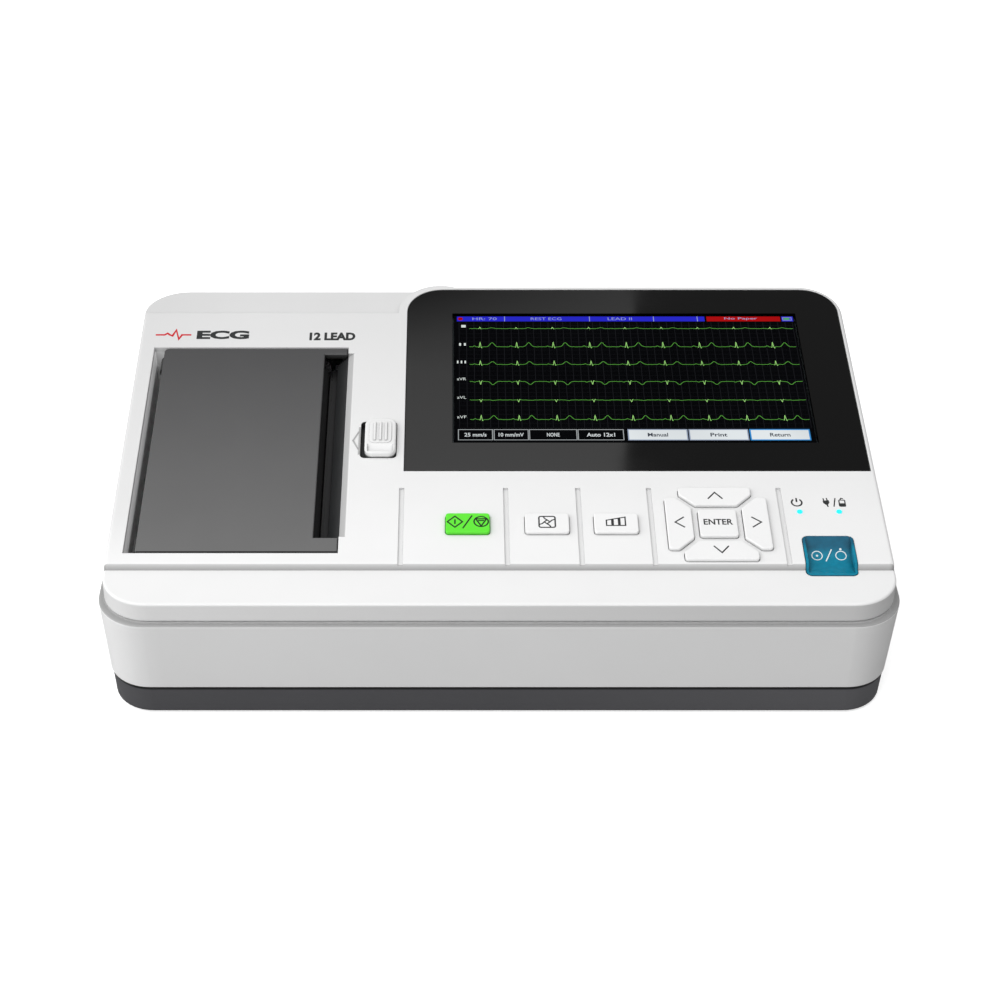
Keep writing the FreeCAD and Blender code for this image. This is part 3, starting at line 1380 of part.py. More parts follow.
def make_patient_socket():
    """The 15-way patient lead socket in the right wall, with its two threaded hexagonal pillars."""
    level, middle = float(D.port_level), float(D.patient_port_y)
    inner = float(D.case_width / 2 - DRAFT_SHRINK - D.wall) - 0.02

    def shell(half_top, half_bottom, half_height, x0, x1):
        corners = [
            (x0, middle - half_bottom, level - half_height),
            (x0, middle + half_bottom, level - half_height),
            (x0, middle + half_top, level + half_height),
            (x0, middle - half_top, level + half_height),
        ]
        points = [FreeCAD.Vector(*corner) for corner in corners]
        return Part.Face(Part.makePolygon(points + points[:1])).extrude(FreeCAD.Vector(x1 - x0, 0, 0))

    flange = solid_block((inner - 1.5, inner), (middle - 19.6, middle + 19.6), (level - 6.3, level + 6.3))
    rim = shell(12.3, 11.4, 4.2, inner - 0.5, inner + 4)
    housing = solid_block((inner - 9, inner - 1), (middle - 12, middle + 12), (level - 5, level + 5))
    legs = solid_block((inner - 8, inner - 4), (middle - 10, middle + 10), (23.2, level))
    socket = flange.fuse(rim).fuse(housing).fuse(legs)
    socket = socket.cut(shell(11.7, 10.8, 3.6, inner + 3.2, inner + 5))
    for count, z, shift in ((8, level + 1.4, 0), (7, level - 1.4, 1.385)):
        for i in range(count):
            y = middle - 9.695 + shift + 2.77 * i
            socket = socket.cut(solid_bar(0.55, 8, (inner - 3, y, z), X_AXIS))
    for side in (-1, 1):
        place = (inner - 3, middle + side * float(D.jackscrew_spacing) / 2, level)
        socket = socket.cut(solid_bar(1.6, 6, place, X_AXIS))
    group("patient_connector", [socket.removeSplitter()])
    pillars = []
    for side in (-1, 1):
        y = middle + side * float(D.jackscrew_spacing) / 2
        angles = [math.radians(30 + 60 * i) for i in range(6)]
        corners = [FreeCAD.Vector(inner, y + 2.75 * math.cos(a), level + 2.75 * math.sin(a)) for a in angles]
        hexagon = Part.Face(Part.makePolygon(corners + corners[:1])).extrude(FreeCAD.Vector(4.2, 0, 0))
        shank = solid_bar(1.55, 5, (inner - 4.5, y, level), X_AXIS)
        nut = solid_bar(2.6, 1.6, (inner - 3.12, y, level), X_AXIS)
        hole = solid_bar(D.jackscrew_radius, 7, (inner - 2, y, level), X_AXIS)
        pillars.append(hexagon.fuse(shank).fuse(nut).cut(hole))
    group("connector_jackscrews", pillars)


def make_rear_sockets():
    """Mains inlet, earth pin, network socket and data socket in the back wall."""
    level = float(D.port_level)
    back = float(D.case_depth) / 2 - 1.3
    x = float(D.inlet_x)
    inlet = solid_block((x - 13.6, x + 13.6), (84, back), (level - 10, level + 10))
    outline = [(-11.6, -8), (11.6, -8), (11.6, 4), (7.6, 8), (-7.6, 8), (-11.6, 4)]
    corners = [FreeCAD.Vector(x + u, back - 14, level + v) for u, v in outline]
    hollow = Part.Face(Part.makePolygon(corners + corners[:1])).extrude(FreeCAD.Vector(0, 16, 0))
    inlet = inlet.cut(hollow)
    for u, v in ((-7, -2), (7, -2), (0, 2)):
        blade = solid_block((x + u - 1, x + u + 1), (back - 14.5, back - 2), (level + v - 2, level + v + 2))
        inlet = inlet.fuse(blade)
    group("power_inlet", [inlet])
    tip = float(D.ground_pin_tip)
    root = tip - float(D.ground_pin_length)
    x = float(D.ground_x)
    pin = solid_bar(D.ground_pin_radius, D.ground_pin_length, (x, root, level), Y_AXIS)
    pin = pin.makeChamfer(0.5, [e for e in pin.Edges if e.BoundBox.YMin > tip - 0.01])
    collar = solid_bar(5, 2, (x, root - 2, level), Y_AXIS)
    shank = solid_bar(2.4, 8, (x, root - 8, level), Y_AXIS)
    nut = solid_bar(4.4, 3, (x, root - 7.2, level), Y_AXIS)
    group("ground_stud", [pin.fuse(collar).fuse(shank).fuse(nut)])
    x = float(D.network_x)
    socket = solid_block((x - 8, x + 8), (84, back), (23.2, level + 6.7))
    socket = socket.cut(solid_block((x - 5.9, x + 5.9), (88, back + 1), (level - 3.4, level + 3.8)))
    socket = socket.cut(solid_block((x - 3, x + 3), (88, back + 1), (level + 3.7, level + 5.4)))
    group("network_socket", [socket])
    x = float(D.usb_x)
    level = float(D.usb_level)
    socket = solid_block((x - 6.7, x + 6.7), (86, back), (23.2, level + 3.2))
    socket = socket.cut(solid_block((x - 6, x + 6), (90, back + 1), (level - 2.4, level + 2.4)))
    tongue = solid_block((x - 5.4, x + 5.4), (89, back - 1), (level + 0.2, level + 1.7))
    group("usb_socket", [socket.fuse(tongue)])


def make_speaker():
    """The small loudspeaker on the floor of the base."""
    x, y, z = 118, -50, float(FLOOR_TOP) + 0.05
    basket = solid_bar(14, 2, (x, y, z))
    magnet = solid_bar(8, 5, (x, y, z + 1.5))
    group("speaker", [basket.fuse(magnet)])


def swept_wire(points, radius):
    """A round cable through a list of points."""
    curve = Part.BSplineCurve()
    curve.interpolate([FreeCAD.Vector(*point) for point in points])
    spine = Part.Wire(curve.toShape())
    direction = curve.tangent(curve.FirstParameter)[0]
    start = FreeCAD.Vector(*points[0])
    section = Part.Wire(Part.makeCircle(radius, start, direction))
    return spine.makePipeShell([section], True, True)


def make_cables():
    """The supply harness and the display's flat cable."""
    wires = []
    for i in range(4):
        x, landing = 70 + 3 * i, 40 + 2 * i
        rise = [(x, 10.9, 20 + i), (x - 1, 5, 24 + i), (x - 14, 0, 32)]
        wires.append(swept_wire(rise + [(landing, 8, 28), (landing, 12, 25.4)], 0.8))
    group("power_harness", wires)
    path = [(150, -8.6), (150, -14), (128, -36), (124, -40)]
    thickness = 0.35
    lower = [(y - thickness, z) for y, z in reversed(path)]
    corners = [FreeCAD.Vector(10, y, z) for y, z in path + lower]
    strip = Part.Face(Part.makePolygon(corners + corners[:1])).extrude(FreeCAD.Vector(24, 0, 0))
    group("display_ribbon", [strip], panel=True)


# ---------------------------------------------------------------- build, check and write


def write_steps():
    """Checks every object and writes one STEP file for each sub-part."""
    doc.recompute()
    for item in doc.Objects:
        if "Invalid" in item.State or "Error" in item.State:
            raise RuntimeError(f"{item.Name} is {item.State}")
    os.makedirs("parts", exist_ok=True)
    for item in subparts:
        if item.Shape.isNull() or not item.Shape.isValid():
            raise RuntimeError(f"{item.Label} has no valid shape")
        item.Shape.exportStep(f"parts/{item.Label}.step")


make_base_tray()
make_battery()
make_lower_housing()
make_feet()
make_shell_screws()
make_top_cover()
make_keys()
make_power_key()
make_indicator_lenses()
make_keypad()
make_display()
make_paper_door()
make_hinge_pin()
make_platen()
make_gear_train()
make_print_head()
make_springs()
make_mechanism_frame()
make_tear_bar()
make_head_cable()
make_paper_tray()
make_latch()
make_main_board()
make_power_supply()
make_patient_socket()
make_rear_sockets()
make_speaker()
make_cables()
write_steps()
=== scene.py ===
"""Looks, printed marks, light and camera for the desktop electrocardiograph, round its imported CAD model.

Marks on the sloping top are drawn in the panel frame: x to the right, s up the slope from just ahead of
the panel's front ridge and n out of the panel. Drawings are in millimetres; everything else is in metres.
"""

import json
import math

import bpy
import bmesh
from mathutils import Matrix, Vector


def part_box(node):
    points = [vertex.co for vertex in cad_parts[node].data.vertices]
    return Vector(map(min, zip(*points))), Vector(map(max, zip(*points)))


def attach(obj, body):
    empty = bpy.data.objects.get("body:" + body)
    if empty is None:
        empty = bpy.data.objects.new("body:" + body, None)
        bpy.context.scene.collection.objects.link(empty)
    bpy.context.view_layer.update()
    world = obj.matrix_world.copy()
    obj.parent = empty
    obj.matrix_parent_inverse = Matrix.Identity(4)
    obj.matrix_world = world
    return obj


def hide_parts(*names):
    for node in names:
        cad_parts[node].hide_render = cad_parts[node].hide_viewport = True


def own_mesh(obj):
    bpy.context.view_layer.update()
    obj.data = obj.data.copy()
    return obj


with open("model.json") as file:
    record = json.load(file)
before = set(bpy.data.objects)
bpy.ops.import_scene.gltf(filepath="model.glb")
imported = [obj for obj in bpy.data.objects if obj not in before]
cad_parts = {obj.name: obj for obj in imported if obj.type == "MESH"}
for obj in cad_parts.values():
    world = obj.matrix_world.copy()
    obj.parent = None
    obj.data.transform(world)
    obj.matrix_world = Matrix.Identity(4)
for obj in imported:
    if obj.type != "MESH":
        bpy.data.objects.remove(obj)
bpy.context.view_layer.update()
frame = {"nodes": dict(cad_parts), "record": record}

MM = 0.001
CASING = "casing"
PANEL_SLOPE = math.radians(7)
PANEL_START = Vector((0, -80.4, 60.3)) * MM
PANEL = Matrix.Translation(PANEL_START) @ Matrix.Rotation(PANEL_SLOPE, 4, "X")
TO_PANEL = PANEL.inverted()

# Levels over the table: the dark base, the pale band and the cover's lip.
BASE_TOP = 14.5 * MM
BAND_TOP = 48.8 * MM
LIP_TOP = 58.2 * MM

# Places in the panel frame where light or shade is painted: the step behind the lip, the door's front edge,
# the sloping lip and the latch opening of the paper slot, which get painted shade, and how far down the
# tray's hinge wall glows with painted light.
RISER_FRONT, RISER_REAR, RISER_DROP = 0.7 * MM, 2.5 * MM, 2.2 * MM
DOOR_FRONT = 8.65 * MM
SLOT_LIP_X, SLOT_LIP_S = (-66 * MM, -62 * MM), (17 * MM, 135 * MM)
LATCH_OPENING_X, LATCH_OPENING_S = (-58 * MM, -42 * MM), (64.8 * MM, 88.4 * MM)
HINGE_WALL_GLOW_DEPTH = 12 * MM

# Brightness of the studio overhead and on each side, and the card that the display's glass mirrors.
STUDIO_TOP = 0.86
STUDIO_SIDES = {"left": 2.1, "right": 0.4, "front": 0.42, "back": 0.2}
MIRROR_EDGE = Vector((1.0, -0.102, -0.0203))
MIRROR_DARK = 0.17

# The softbox and the camera: metres, watts, millimetres of lens and degrees below level.
LAMP_PLACE, LAMP_AIM = Vector((-0.35, -0.6, 0.75)), Vector((0, -0.05, 0.05))
LAMP_SIZE, LAMP_POWER = (0.7, 0.5), 3.1
CAMERA_PLACE = (-0.0197, -0.7519, 0.5928)
CAMERA_LENS, CAMERA_SHIFT, CAMERA_PITCH = 77.1, 0.05, 36.6


# ---------------------------------------------------------------- places taken from the frame


def panel_box(node):
    """Centre (x, s) of a CAD node on the sloping panel, in millimetres."""
    low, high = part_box(node)
    place = TO_PANEL @ ((low + high) / 2)
    return place.x / MM, place.y / MM


def colour(code):
    """Linear colour for an sRGB hex code."""
    parts = [int(code[i : i + 2], 16) / 255 for i in (0, 2, 4)]
    linear = [p / 12.92 if p <= 0.04045 else ((p + 0.055) / 1.055) ** 2.4 for p in parts]
    return (*linear, 1.0)


# ---------------------------------------------------------------- material building


class Finish:
    """One procedural material. Lengths are metres on the object."""

    def __init__(self, name, base, roughness=0.5, metallic=0.0):
        self.material = bpy.data.materials.new(name)
        self.material.use_nodes = True
        tree = self.material.node_tree
        self.nodes, self.links = tree.nodes, tree.links
        self.shader = self.nodes["Principled BSDF"]
        self.output = self.nodes["Material Output"]
        self.place = self.nodes.new("ShaderNodeTexCoord").outputs["Object"]
        self.tint = colour(base)
        self.normal = None
        self.set("Base Color", self.tint)
        self.set("Roughness", roughness)
        self.set("Metallic", metallic)

    def feed(self, socket, value):
        if isinstance(value, bpy.types.NodeSocket):
            self.links.new(value, socket)
        else:
            socket.default_value = value

    def set(self, name, value):
        self.feed(self.shader.inputs[name], value)
        return self

    def node(self, kind, inputs=(), **settings):
        node = self.nodes.new(kind)
        for name, value in settings.items():
            setattr(node, name, value)
        for key, value in dict(inputs).items():
            self.feed(node.inputs[key], value)
        return node

    def math(self, operation, first, second=0.0):
        return self.node("ShaderNodeMath", {0: first, 1: second}, operation=operation).outputs[0]

    def stretched(self, stretch):
        """The object's coordinates scaled by axis, so that a texture runs along one direction."""
        return self.node("ShaderNodeMapping", {"Vector": self.place, "Scale": stretch}).outputs[0]

    def noise(self, size, detail=3.0, stretch=None):
        place = self.stretched(stretch) if stretch else self.place
        inputs = {"Vector": place, "Scale": 1 / size, "Detail": detail}
        return self.node("ShaderNodeTexNoise", inputs).outputs["Fac"]

    def cells(self, size):
        inputs = {"Vector": self.place, "Scale": 1 / size}
        return self.node("ShaderNodeTexVoronoi", inputs).outputs["Distance"]

    def stripes(self, pitch, axis="X", bend=0.0):
        """Parallel bands, 0 to 1 across each; the wave texture repeats 20 times in tau."""
        inputs = {"Vector": self.place, "Scale": math.tau / pitch / 20, "Distortion": bend}
        return self.node("ShaderNodeTexWave", inputs, bands_direction=axis).outputs["Fac"]

    def between(self, value, low, high, to_low=0.0, to_high=1.0, smooth=False):
        inputs = {0: value, 1: low, 2: high, 3: to_low, 4: to_high}
        kind = "SMOOTHSTEP" if smooth else "LINEAR"
        return self.node("ShaderNodeMapRange", inputs, interpolation_type=kind, clamp=True).outputs[0]

    def mix(self, factor, first, second, kind="MIX"):
        inputs = {0: factor, 6: first, 7: second}
        return self.node("ShaderNodeMix", inputs, data_type="RGBA", blend_type=kind).outputs[2]

    def panel_place(self):
        """Separate x, s and n of the shaded point on the sloping panel, in metres."""
        moved = self.node("ShaderNodeVectorMath", {0: self.place, 1: PANEL_START}, operation="SUBTRACT")
        inputs = {"Vector": moved.outputs[0], "Angle": -PANEL_SLOPE}
        turned = self.node("ShaderNodeVectorRotate", inputs, rotation_type="X_AXIS")
        return self.node("ShaderNodeSeparateXYZ", {0: turned.outputs[0]}).outputs

    def both(self, first, second):
        """Where two masks overlap."""
        return self.math("MULTIPLY", first, second)

    def inside(self, value, low, high):
        """1 where low < value < high, in metres."""
        return self.both(self.math("GREATER_THAN", value, low), self.math("LESS_THAN", value, high))

    def recolour_or_shade(self, mask, code):
        """Gives the masked part another colour: an sRGB code, or a colour from other nodes; used both for
        parts' own colours and for painted light and shade.
        """
        self.tint = self.mix(mask, self.tint, colour(code) if isinstance(code, str) else code)
        return self

    def open_sky(self, reach):
        """1 in the open, falling to 0 in gaps and corners narrower than the reach."""
        return self.node("ShaderNodeAmbientOcclusion", {"Distance": reach}, samples=4).outputs["AO"]

    def table_place(self):
        """Separate x, y and z of the shaded point, in metres."""
        return self.node("ShaderNodeSeparateXYZ", {0: self.place}).outputs

    def relief(self, height, depth):
        """Raises the surface by a height from 0 to 1, times the depth."""
        inputs = {"Height": height, "Distance": depth, "Strength": 1.0}
        if self.normal:
            inputs["Normal"] = self.normal
        self.normal = self.node("ShaderNodeBump", inputs).outputs[0]
        return self

    def shade(self, level):
        """Multiplies the colour by a grey level."""
        grey = self.node("ShaderNodeCombineColor", {0: level, 1: level, 2: level}).outputs[0]
        self.tint = self.mix(1.0, self.tint, grey, "MULTIPLY")
        return self

    def soften(self, radius):
        """Rounds edges in the shading only."""
        self.normal = self.node("ShaderNodeBevel", {"Radius": radius}, samples=4).outputs[0]
        return self

    def grain(self, size, depth, detail=2.0, stretch=None):
        """Adds fine surface relief, such as moulded texture or brushing."""
        return self.relief(self.noise(size, detail, stretch), depth)

    def mottle(self, size, amount, stretch=None):
        """Slight cloudiness of the colour."""
        return self.shade(self.between(self.noise(size, 4.0, stretch), 0.3, 0.7, 1 - amount, 1 + amount / 2))

    def gloss(self, low, high, size, stretch=None):
        """Roughness that wanders between two values."""
        self.set("Roughness", self.between(self.noise(size, 4.0, stretch), 0.3, 0.7, low, high))
        return self

    def edge_mask(self, radius):
        """1 along edges, 0 on flat ground."""
        bevel = self.node("ShaderNodeBevel", {"Radius": radius}, samples=4).outputs[0]
        flat = self.node("ShaderNodeNewGeometry").outputs["Normal"]
        dot = self.node("ShaderNodeVectorMath", {0: bevel, 1: flat}, operation="DOT_PRODUCT")
        return self.between(dot.outputs["Value"], 0.99, 0.8)

    def wear(self, radius, code, amount):
        """Handling wear: edges take another colour where a patchy noise allows it."""
        patches = self.between(self.noise(6 * MM, 5.0), 0.4, 0.65)
        return self.recolour_or_shade(self.both(self.both(self.edge_mask(radius), patches), amount), code)

    def paint_crevice_shade(self, reach, code, amount):
        """Paints shade into narrow gaps and inner corners, where little open sky reaches."""
        return self.recolour_or_shade(self.both(self.between(self.open_sky(reach), 0.2, 0.9, 1.0, 0.0), amount), code)

    def done(self):
        self.set("Base Color", self.tint)
        if self.normal:
            self.set("Normal", self.normal)
        return self.material


def moulded(name, base, roughness=0.42, grain=0.35 * MM, depth=0.012 * MM, edge=0.35 * MM):
    """Moulded plastic: fine spark-eroded grain, cloudy gloss, soft edges and dull corners."""
    finish = Finish(name, base, roughness).soften(edge)
    finish.grain(grain, depth).grain(9 * MM, 0.02 * MM)
    finish.gloss(roughness - 0.05, roughness + 0.07, 14 * MM)
    finish.mottle(30 * MM, 0.012)
    return finish


def metal(name, base, roughness=0.3, brush=None, size=0.6 * MM, depth=0.01 * MM):
    """Metal with brushing along one axis, or a fine cast grain."""
    finish = Finish(name, base, roughness, 1.0).soften(0.15 * MM)
    finish.grain(size, depth, 3.0, brush)
    finish.gloss(roughness * 0.75, roughness * 1.35, 5 * MM, brush)
    finish.mottle(6 * MM, 0.08, brush)
    return finish


def white_shell():
    """The white top, with painted shade: greyer to the rear, on the riser, on the lip and on the paper
    slot's sloping lip.
    """
    finish = moulded("white_shell", "f0f0f0", 0.45)
    x, s, n = finish.panel_place()
    y, z = finish.table_place()[1:]
    # Painted shade: greyer towards the rear.
    finish.recolour_or_shade(finish.between(s, 15 * MM, 150 * MM), "e1e1e1")
    # Painted shade at the left front.
    left_front_shade = finish.both(finish.between(x, -110 * MM, -150 * MM), finish.between(s, 5 * MM, 30 * MM))
    finish.recolour_or_shade(finish.both(left_front_shade, 0.5), "d8d8d8")
    # Painted shade on the paper slot's sloping lip.
    slot_lip = finish.both(finish.inside(x, *SLOT_LIP_X), finish.inside(s, *SLOT_LIP_S))
    finish.recolour_or_shade(finish.both(slot_lip, finish.between(n, -0.05 * MM, -0.4 * MM)), "b4b4b4")
    # Painted shade on the lip's front face, darker towards the right.
    lip_shade = finish.mix(finish.between(x, -150 * MM, 160 * MM), colour("eeeeee"), colour("d6d6d6"))
    below_rim = finish.math("LESS_THAN", z, LIP_TOP - 0.7 * MM)
    finish.recolour_or_shade(finish.both(below_rim, finish.between(y, -50 * MM, -85 * MM)), lip_shade)
    # Painted shade in narrow gaps and inner corners; lighter worn edges.
    finish.paint_crevice_shade(2.5 * MM, "8f9090", 0.5).wear(0.5 * MM, "fbfbfb", 0.5)
    # Painted shade on the walls of the latch opening.
    opening = finish.both(finish.inside(x, *LATCH_OPENING_X), finish.inside(s, *LATCH_OPENING_S))
    finish.recolour_or_shade(finish.both(opening, finish.between(n, -0.1 * MM, -0.3 * MM)), "3c3c3d")
    # Painted shade on the riser behind the lip, darker towards its foot.
    riser_shade = finish.mix(finish.between(n, -0.3 * MM, -RISER_DROP), colour("c6c6c6"), colour("989898"))
    riser = finish.both(finish.inside(s, RISER_FRONT, RISER_REAR), finish.between(n, -0.08 * MM, -0.3 * MM))
    return finish.recolour_or_shade(riser, riser_shade).done()


def band_shell():
    """The pale band, with a painted highlight at its left corner and a ledge painted in even shade under the
    cover's lip.
    """
    finish = moulded("band_shell", "eeeeee", 0.45)
    x, _, z = finish.table_place()
    # Painted light: the left corner is whiter.
    finish.recolour_or_shade(finish.between(x, -135 * MM, -160 * MM), "ffffff")
    # Painted shade in narrow gaps and inner corners; lighter worn edges.
    finish.paint_crevice_shade(2.5 * MM, "8f9090", 0.5).wear(0.5 * MM, "fbfbfb", 0.5)
    # Painted shade on the ledge under the lip: grey where open, white where the lip covers it, for an even
    # look.
    bare = finish.between(finish.open_sky(2 * MM), 0.2, 0.7)
    ledge = finish.between(z, BAND_TOP - 0.6 * MM, BAND_TOP - 0.3 * MM)
    return finish.recolour_or_shade(ledge, finish.mix(bare, colour("ffffff"), colour("a2a2a2"))).done()


def dark_base():
    """Charcoal base, painted lighter towards the right and painted black as shade in the gap under the band.
    """
    finish = moulded("dark_base", "515154", 0.5, 0.5 * MM, 0.03 * MM)
    x, _, z = finish.table_place()
    # Painted light: lighter towards the right.
    finish.recolour_or_shade(finish.between(x, 0.0, 155 * MM), "5e5e61")
    # Lighter worn edges; painted shade in narrow gaps and inner corners.
    finish.wear(0.5 * MM, "6a6a6d", 0.6).paint_crevice_shade(3 * MM, "141415", 0.9)
    # Painted shade: black in the gap under the band.
    return finish.recolour_or_shade(finish.between(z, BASE_TOP - 1.2 * MM, BASE_TOP - 0.8 * MM), "101011").done()


def foot_rubber():
    finish = moulded("foot_rubber", "2b2b2c", 0.85, 0.8 * MM, 0.06 * MM)
    return finish.mottle(4 * MM, 0.15).done()


def white_key():
    finish = moulded("white_key", "f2f2f2", 0.36, 0.25 * MM, 0.006 * MM, 0.3 * MM)
    # Painted shade in narrow gaps and inner corners.
    finish.paint_crevice_shade(1.5 * MM, "6e7070", 0.75)
    return finish.done()


def green_key():
    finish = moulded("green_key", "5fea2c", 0.36, 0.25 * MM, 0.006 * MM, 0.3 * MM)
    # Painted shade in narrow gaps and inner corners.
    finish.paint_crevice_shade(1.5 * MM, "1d6b0c", 0.8)
    finish.set("Subsurface Weight", 0.15)
    return finish.set("Subsurface Radius", (0.4 * MM, 1.2 * MM, 0.3 * MM)).done()


def teal_key():
    """Tinted see-through plastic, with painted shade deep in the scoop's rear; bright where it turns towards
    the light.
    """
    finish = Finish("teal_key", "0583a0", 0.3).soften(0.25 * MM)
    finish.grain(6 * MM, 0.05 * MM)
    s = finish.panel_place()[1]
    # Painted shade: darker in the scoop's rear.
    finish.recolour_or_shade(finish.between(s, 10.5 * MM, 14.5 * MM, smooth=True), "12607c")
    # Painted shade in narrow gaps and inner corners.
    finish.paint_crevice_shade(3 * MM, "04222f", 0.85)
    finish.mottle(2.5 * MM, 0.14)
    finish.set("Specular IOR Level", 0.25)
    return finish.set("Coat Weight", 0.15).set("Coat Roughness", 0.1).done()


def latch_plastic():
    finish = moulded("latch_plastic", "ececec", 0.32, 0.25 * MM, 0.005 * MM, 0.3 * MM)
    # Painted shade in narrow gaps and inner corners.
    finish.paint_crevice_shade(1.2 * MM, "5c5e5e", 0.8)
    # Painted shade on the latch's sides below the panel, inside its slot.
    n = finish.panel_place()[2]
    return finish.recolour_or_shade(finish.between(n, 0.6 * MM, -0.4 * MM), "4e5050").done()


def tinted_door():
    """Smoke-tinted door with satin skin; painted shade makes it darker to the rear, darker on its edges and
    black along its front edge.
    """
    finish = Finish("tinted_door", "6a6a6a", 0.35).soften(0.3 * MM)
    _, s, n = finish.panel_place()
    # Painted shade: darker towards the rear.
    along = finish.between(s, 10 * MM, 138 * MM)
    finish.tint = finish.mix(along, colour("686868"), colour("474748"))
    # Painted shade on the door's edges below its skin.
    under = finish.between(n, -2.4 * MM, -0.6 * MM, smooth=True)
    finish.tint = finish.mix(under, colour("262727"), finish.tint)
    # Painted shade: a black band along the front edge.
    finish.recolour_or_shade(finish.inside(s, 0.0, DOOR_FRONT + 1.2 * MM), "121212")
    # Painted shade in narrow gaps and inner corners.
    finish.paint_crevice_shade(2 * MM, "1f2020", 0.85)
    finish.grain(0.3 * MM, 0.002 * MM)
    finish.gloss(0.3, 0.42, 25 * MM, (1, 0.2, 1)).mottle(20 * MM, 0.02)
    return finish.done()


def tray_plastic():
    """Pale tray, whose hinge wall glows a little near its top: painted light, standing in for light
    scattered in by the case.
    """
    finish = moulded("tray_plastic", "ececec", 0.5, 0.6 * MM, 0.03 * MM)
    x, _, n = finish.panel_place()
    hinge_wall = finish.math("LESS_THAN", x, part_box("paper_tray")[0].x + 2.3 * MM)
    # Painted light: the top of the hinge wall glows faintly.
    painted_glow = finish.both(hinge_wall, finish.between(n, -HINGE_WALL_GLOW_DEPTH, 2.5 * MM - HINGE_WALL_GLOW_DEPTH))
    finish.set("Emission Color", (1, 1, 1, 1))
    return finish.set("Emission Strength", finish.both(painted_glow, 0.18)).done()


def dark_plastic():
    finish = moulded("dark_plastic", "2b2c2d", 0.45, 0.5 * MM, 0.025 * MM)
    return finish.wear(0.3 * MM, "55575a", 0.5).done()


def gear_nylon():
    finish = moulded("gear_nylon", "4a4a4c", 0.4, 0.4 * MM, 0.008 * MM, 0.12 * MM)
    # Painted shade in narrow gaps and inner corners.
    return finish.paint_crevice_shade(1 * MM, "1d1d1e", 0.6).done()


def platen_rubber():
    finish = moulded("platen_rubber", "141415", 0.85, 0.5 * MM, 0.02 * MM)
    finish.grain(0.5 * MM, 0.02 * MM, 2.0, (8, 1, 8))
    return finish.done()


def dome_rubber():
    finish = moulded("dome_rubber", "aeb2b6", 0.7, 0.5 * MM, 0.02 * MM)
    # Painted shade in narrow gaps and inner corners.
    return finish.paint_crevice_shade(2 * MM, "65696d", 0.7).done()


def battery_wrap():
    finish = moulded("battery_wrap", "1c3f7a", 0.22, 1.5 * MM, 0.01 * MM)
    finish.grain(12 * MM, 0.25 * MM, 2.0, (1, 6, 1))
    return finish.set("Coat Weight", 0.4).done()


def chips():
    finish = moulded("chips", "26272a", 0.5, 0.4 * MM, 0.02 * MM)
    return finish.wear(0.2 * MM, "4a4b50", 0.4).done()


def circuit_board():
    """Solder mask over copper: straight tracks, ground fill and plated holes."""
    finish = Finish("circuit_board", "0b4a26", 0.28).soften(0.1 * MM)
    tracks_x = finish.between(finish.stripes(2.2 * MM, "X", 1.4), 0.72, 0.8)
    tracks_y = finish.between(finish.stripes(2.8 * MM, "Y", 1.1), 0.76, 0.84)
    patches = finish.between(finish.noise(18 * MM, 1.0), 0.48, 0.52)
    tracks = finish.node("ShaderNodeMix", {0: patches, 2: tracks_x, 3: tracks_y}).outputs[0]
    finish.recolour_or_shade(tracks, "17713c")
    holes = finish.between(finish.cells(4 * MM), 0.1, 0.13, 1.0, 0.0)
    finish.recolour_or_shade(holes, "c9b071").set("Metallic", holes)
    return finish.relief(tracks, 0.03 * MM).set("Coat Weight", 0.3).done()


def flat_cable():
    finish = Finish("cable", "c9c2ae", 0.5).soften(0.1 * MM)
    wires = finish.stripes(1.0 * MM, "X")
    finish.tint = finish.mix(finish.between(wires, 0.3, 0.9), colour("a59d86"), finish.tint)
    return finish.relief(wires, 0.1 * MM).mottle(5 * MM, 0.05).done()


def harness():
    """Four insulated wires, each its own colour."""
    finish = Finish("harness", "8a1414", 0.38)
    island = finish.node("ShaderNodeNewGeometry").outputs["Random Per Island"]
    for level, code in ((0.25, "151515"), (0.5, "c9a11b"), (0.75, "1d4fa0")):
        finish.recolour_or_shade(finish.math("GREATER_THAN", island, level), code)
    return finish.grain(0.6 * MM, 0.01 * MM).gloss(0.3, 0.45, 3 * MM).done()


def display_face():
    """The lit screen's black face in its dull metal frame."""
    finish = Finish("display", "070707", 0.35)
    inside = screen_mask(finish, 0.2 * MM)
    finish.tint = finish.mix(inside, colour("3a3c3e"), colour("050506"))
    outside = finish.math("SUBTRACT", 1.0, inside)
    finish.set("Metallic", outside).set("Specular IOR Level", finish.both(outside, 0.5))
    glow = finish.between(finish.noise(60 * MM, 1.0), 0.3, 0.7, 0.7, 1.0)
    finish.set("Emission Color", colour("070709"))
    finish.set("Emission Strength", finish.both(inside, glow))
    return finish.grain(0.5 * MM, 0.01 * MM).done()


def cover_glass():
    """Black-printed glass with a clear, glare-free window over the lit screen."""
    finish = Finish("cover_glass", "040404", 0.06).soften(0.15 * MM)
    finish.gloss(0.03, 0.08, 40 * MM).grain(25 * MM, 0.004 * MM)
    finish.set("IOR", 1.5)
    finish.done()
    window = finish.node("ShaderNodeBsdfTransparent", {"Color": colour("f2f4f4")}).outputs[0]
    inside = screen_mask(finish, 0.9 * MM)
    inputs = {0: inside, 1: finish.shader.outputs[0], 2: window}
    finish.feed(finish.output.inputs["Surface"], finish.node("ShaderNodeMixShader", inputs).outputs[0])
    return finish.material


def clear_lens():
    """Cyan indicator light under a frosted lens, brighter in the middle."""
    finish = Finish("clear_lens", "18d8f0", 0.25).soften(0.2 * MM)
    finish.grain(0.3 * MM, 0.01 * MM)
    facing = finish.node("ShaderNodeLayerWeight", {"Blend": 0.4}).outputs["Facing"]
    finish.set("Emission Color", finish.mix(facing, colour("22e8ff"), colour("0cb4e6")))
    return finish.set("Emission Strength", 0.85).done()


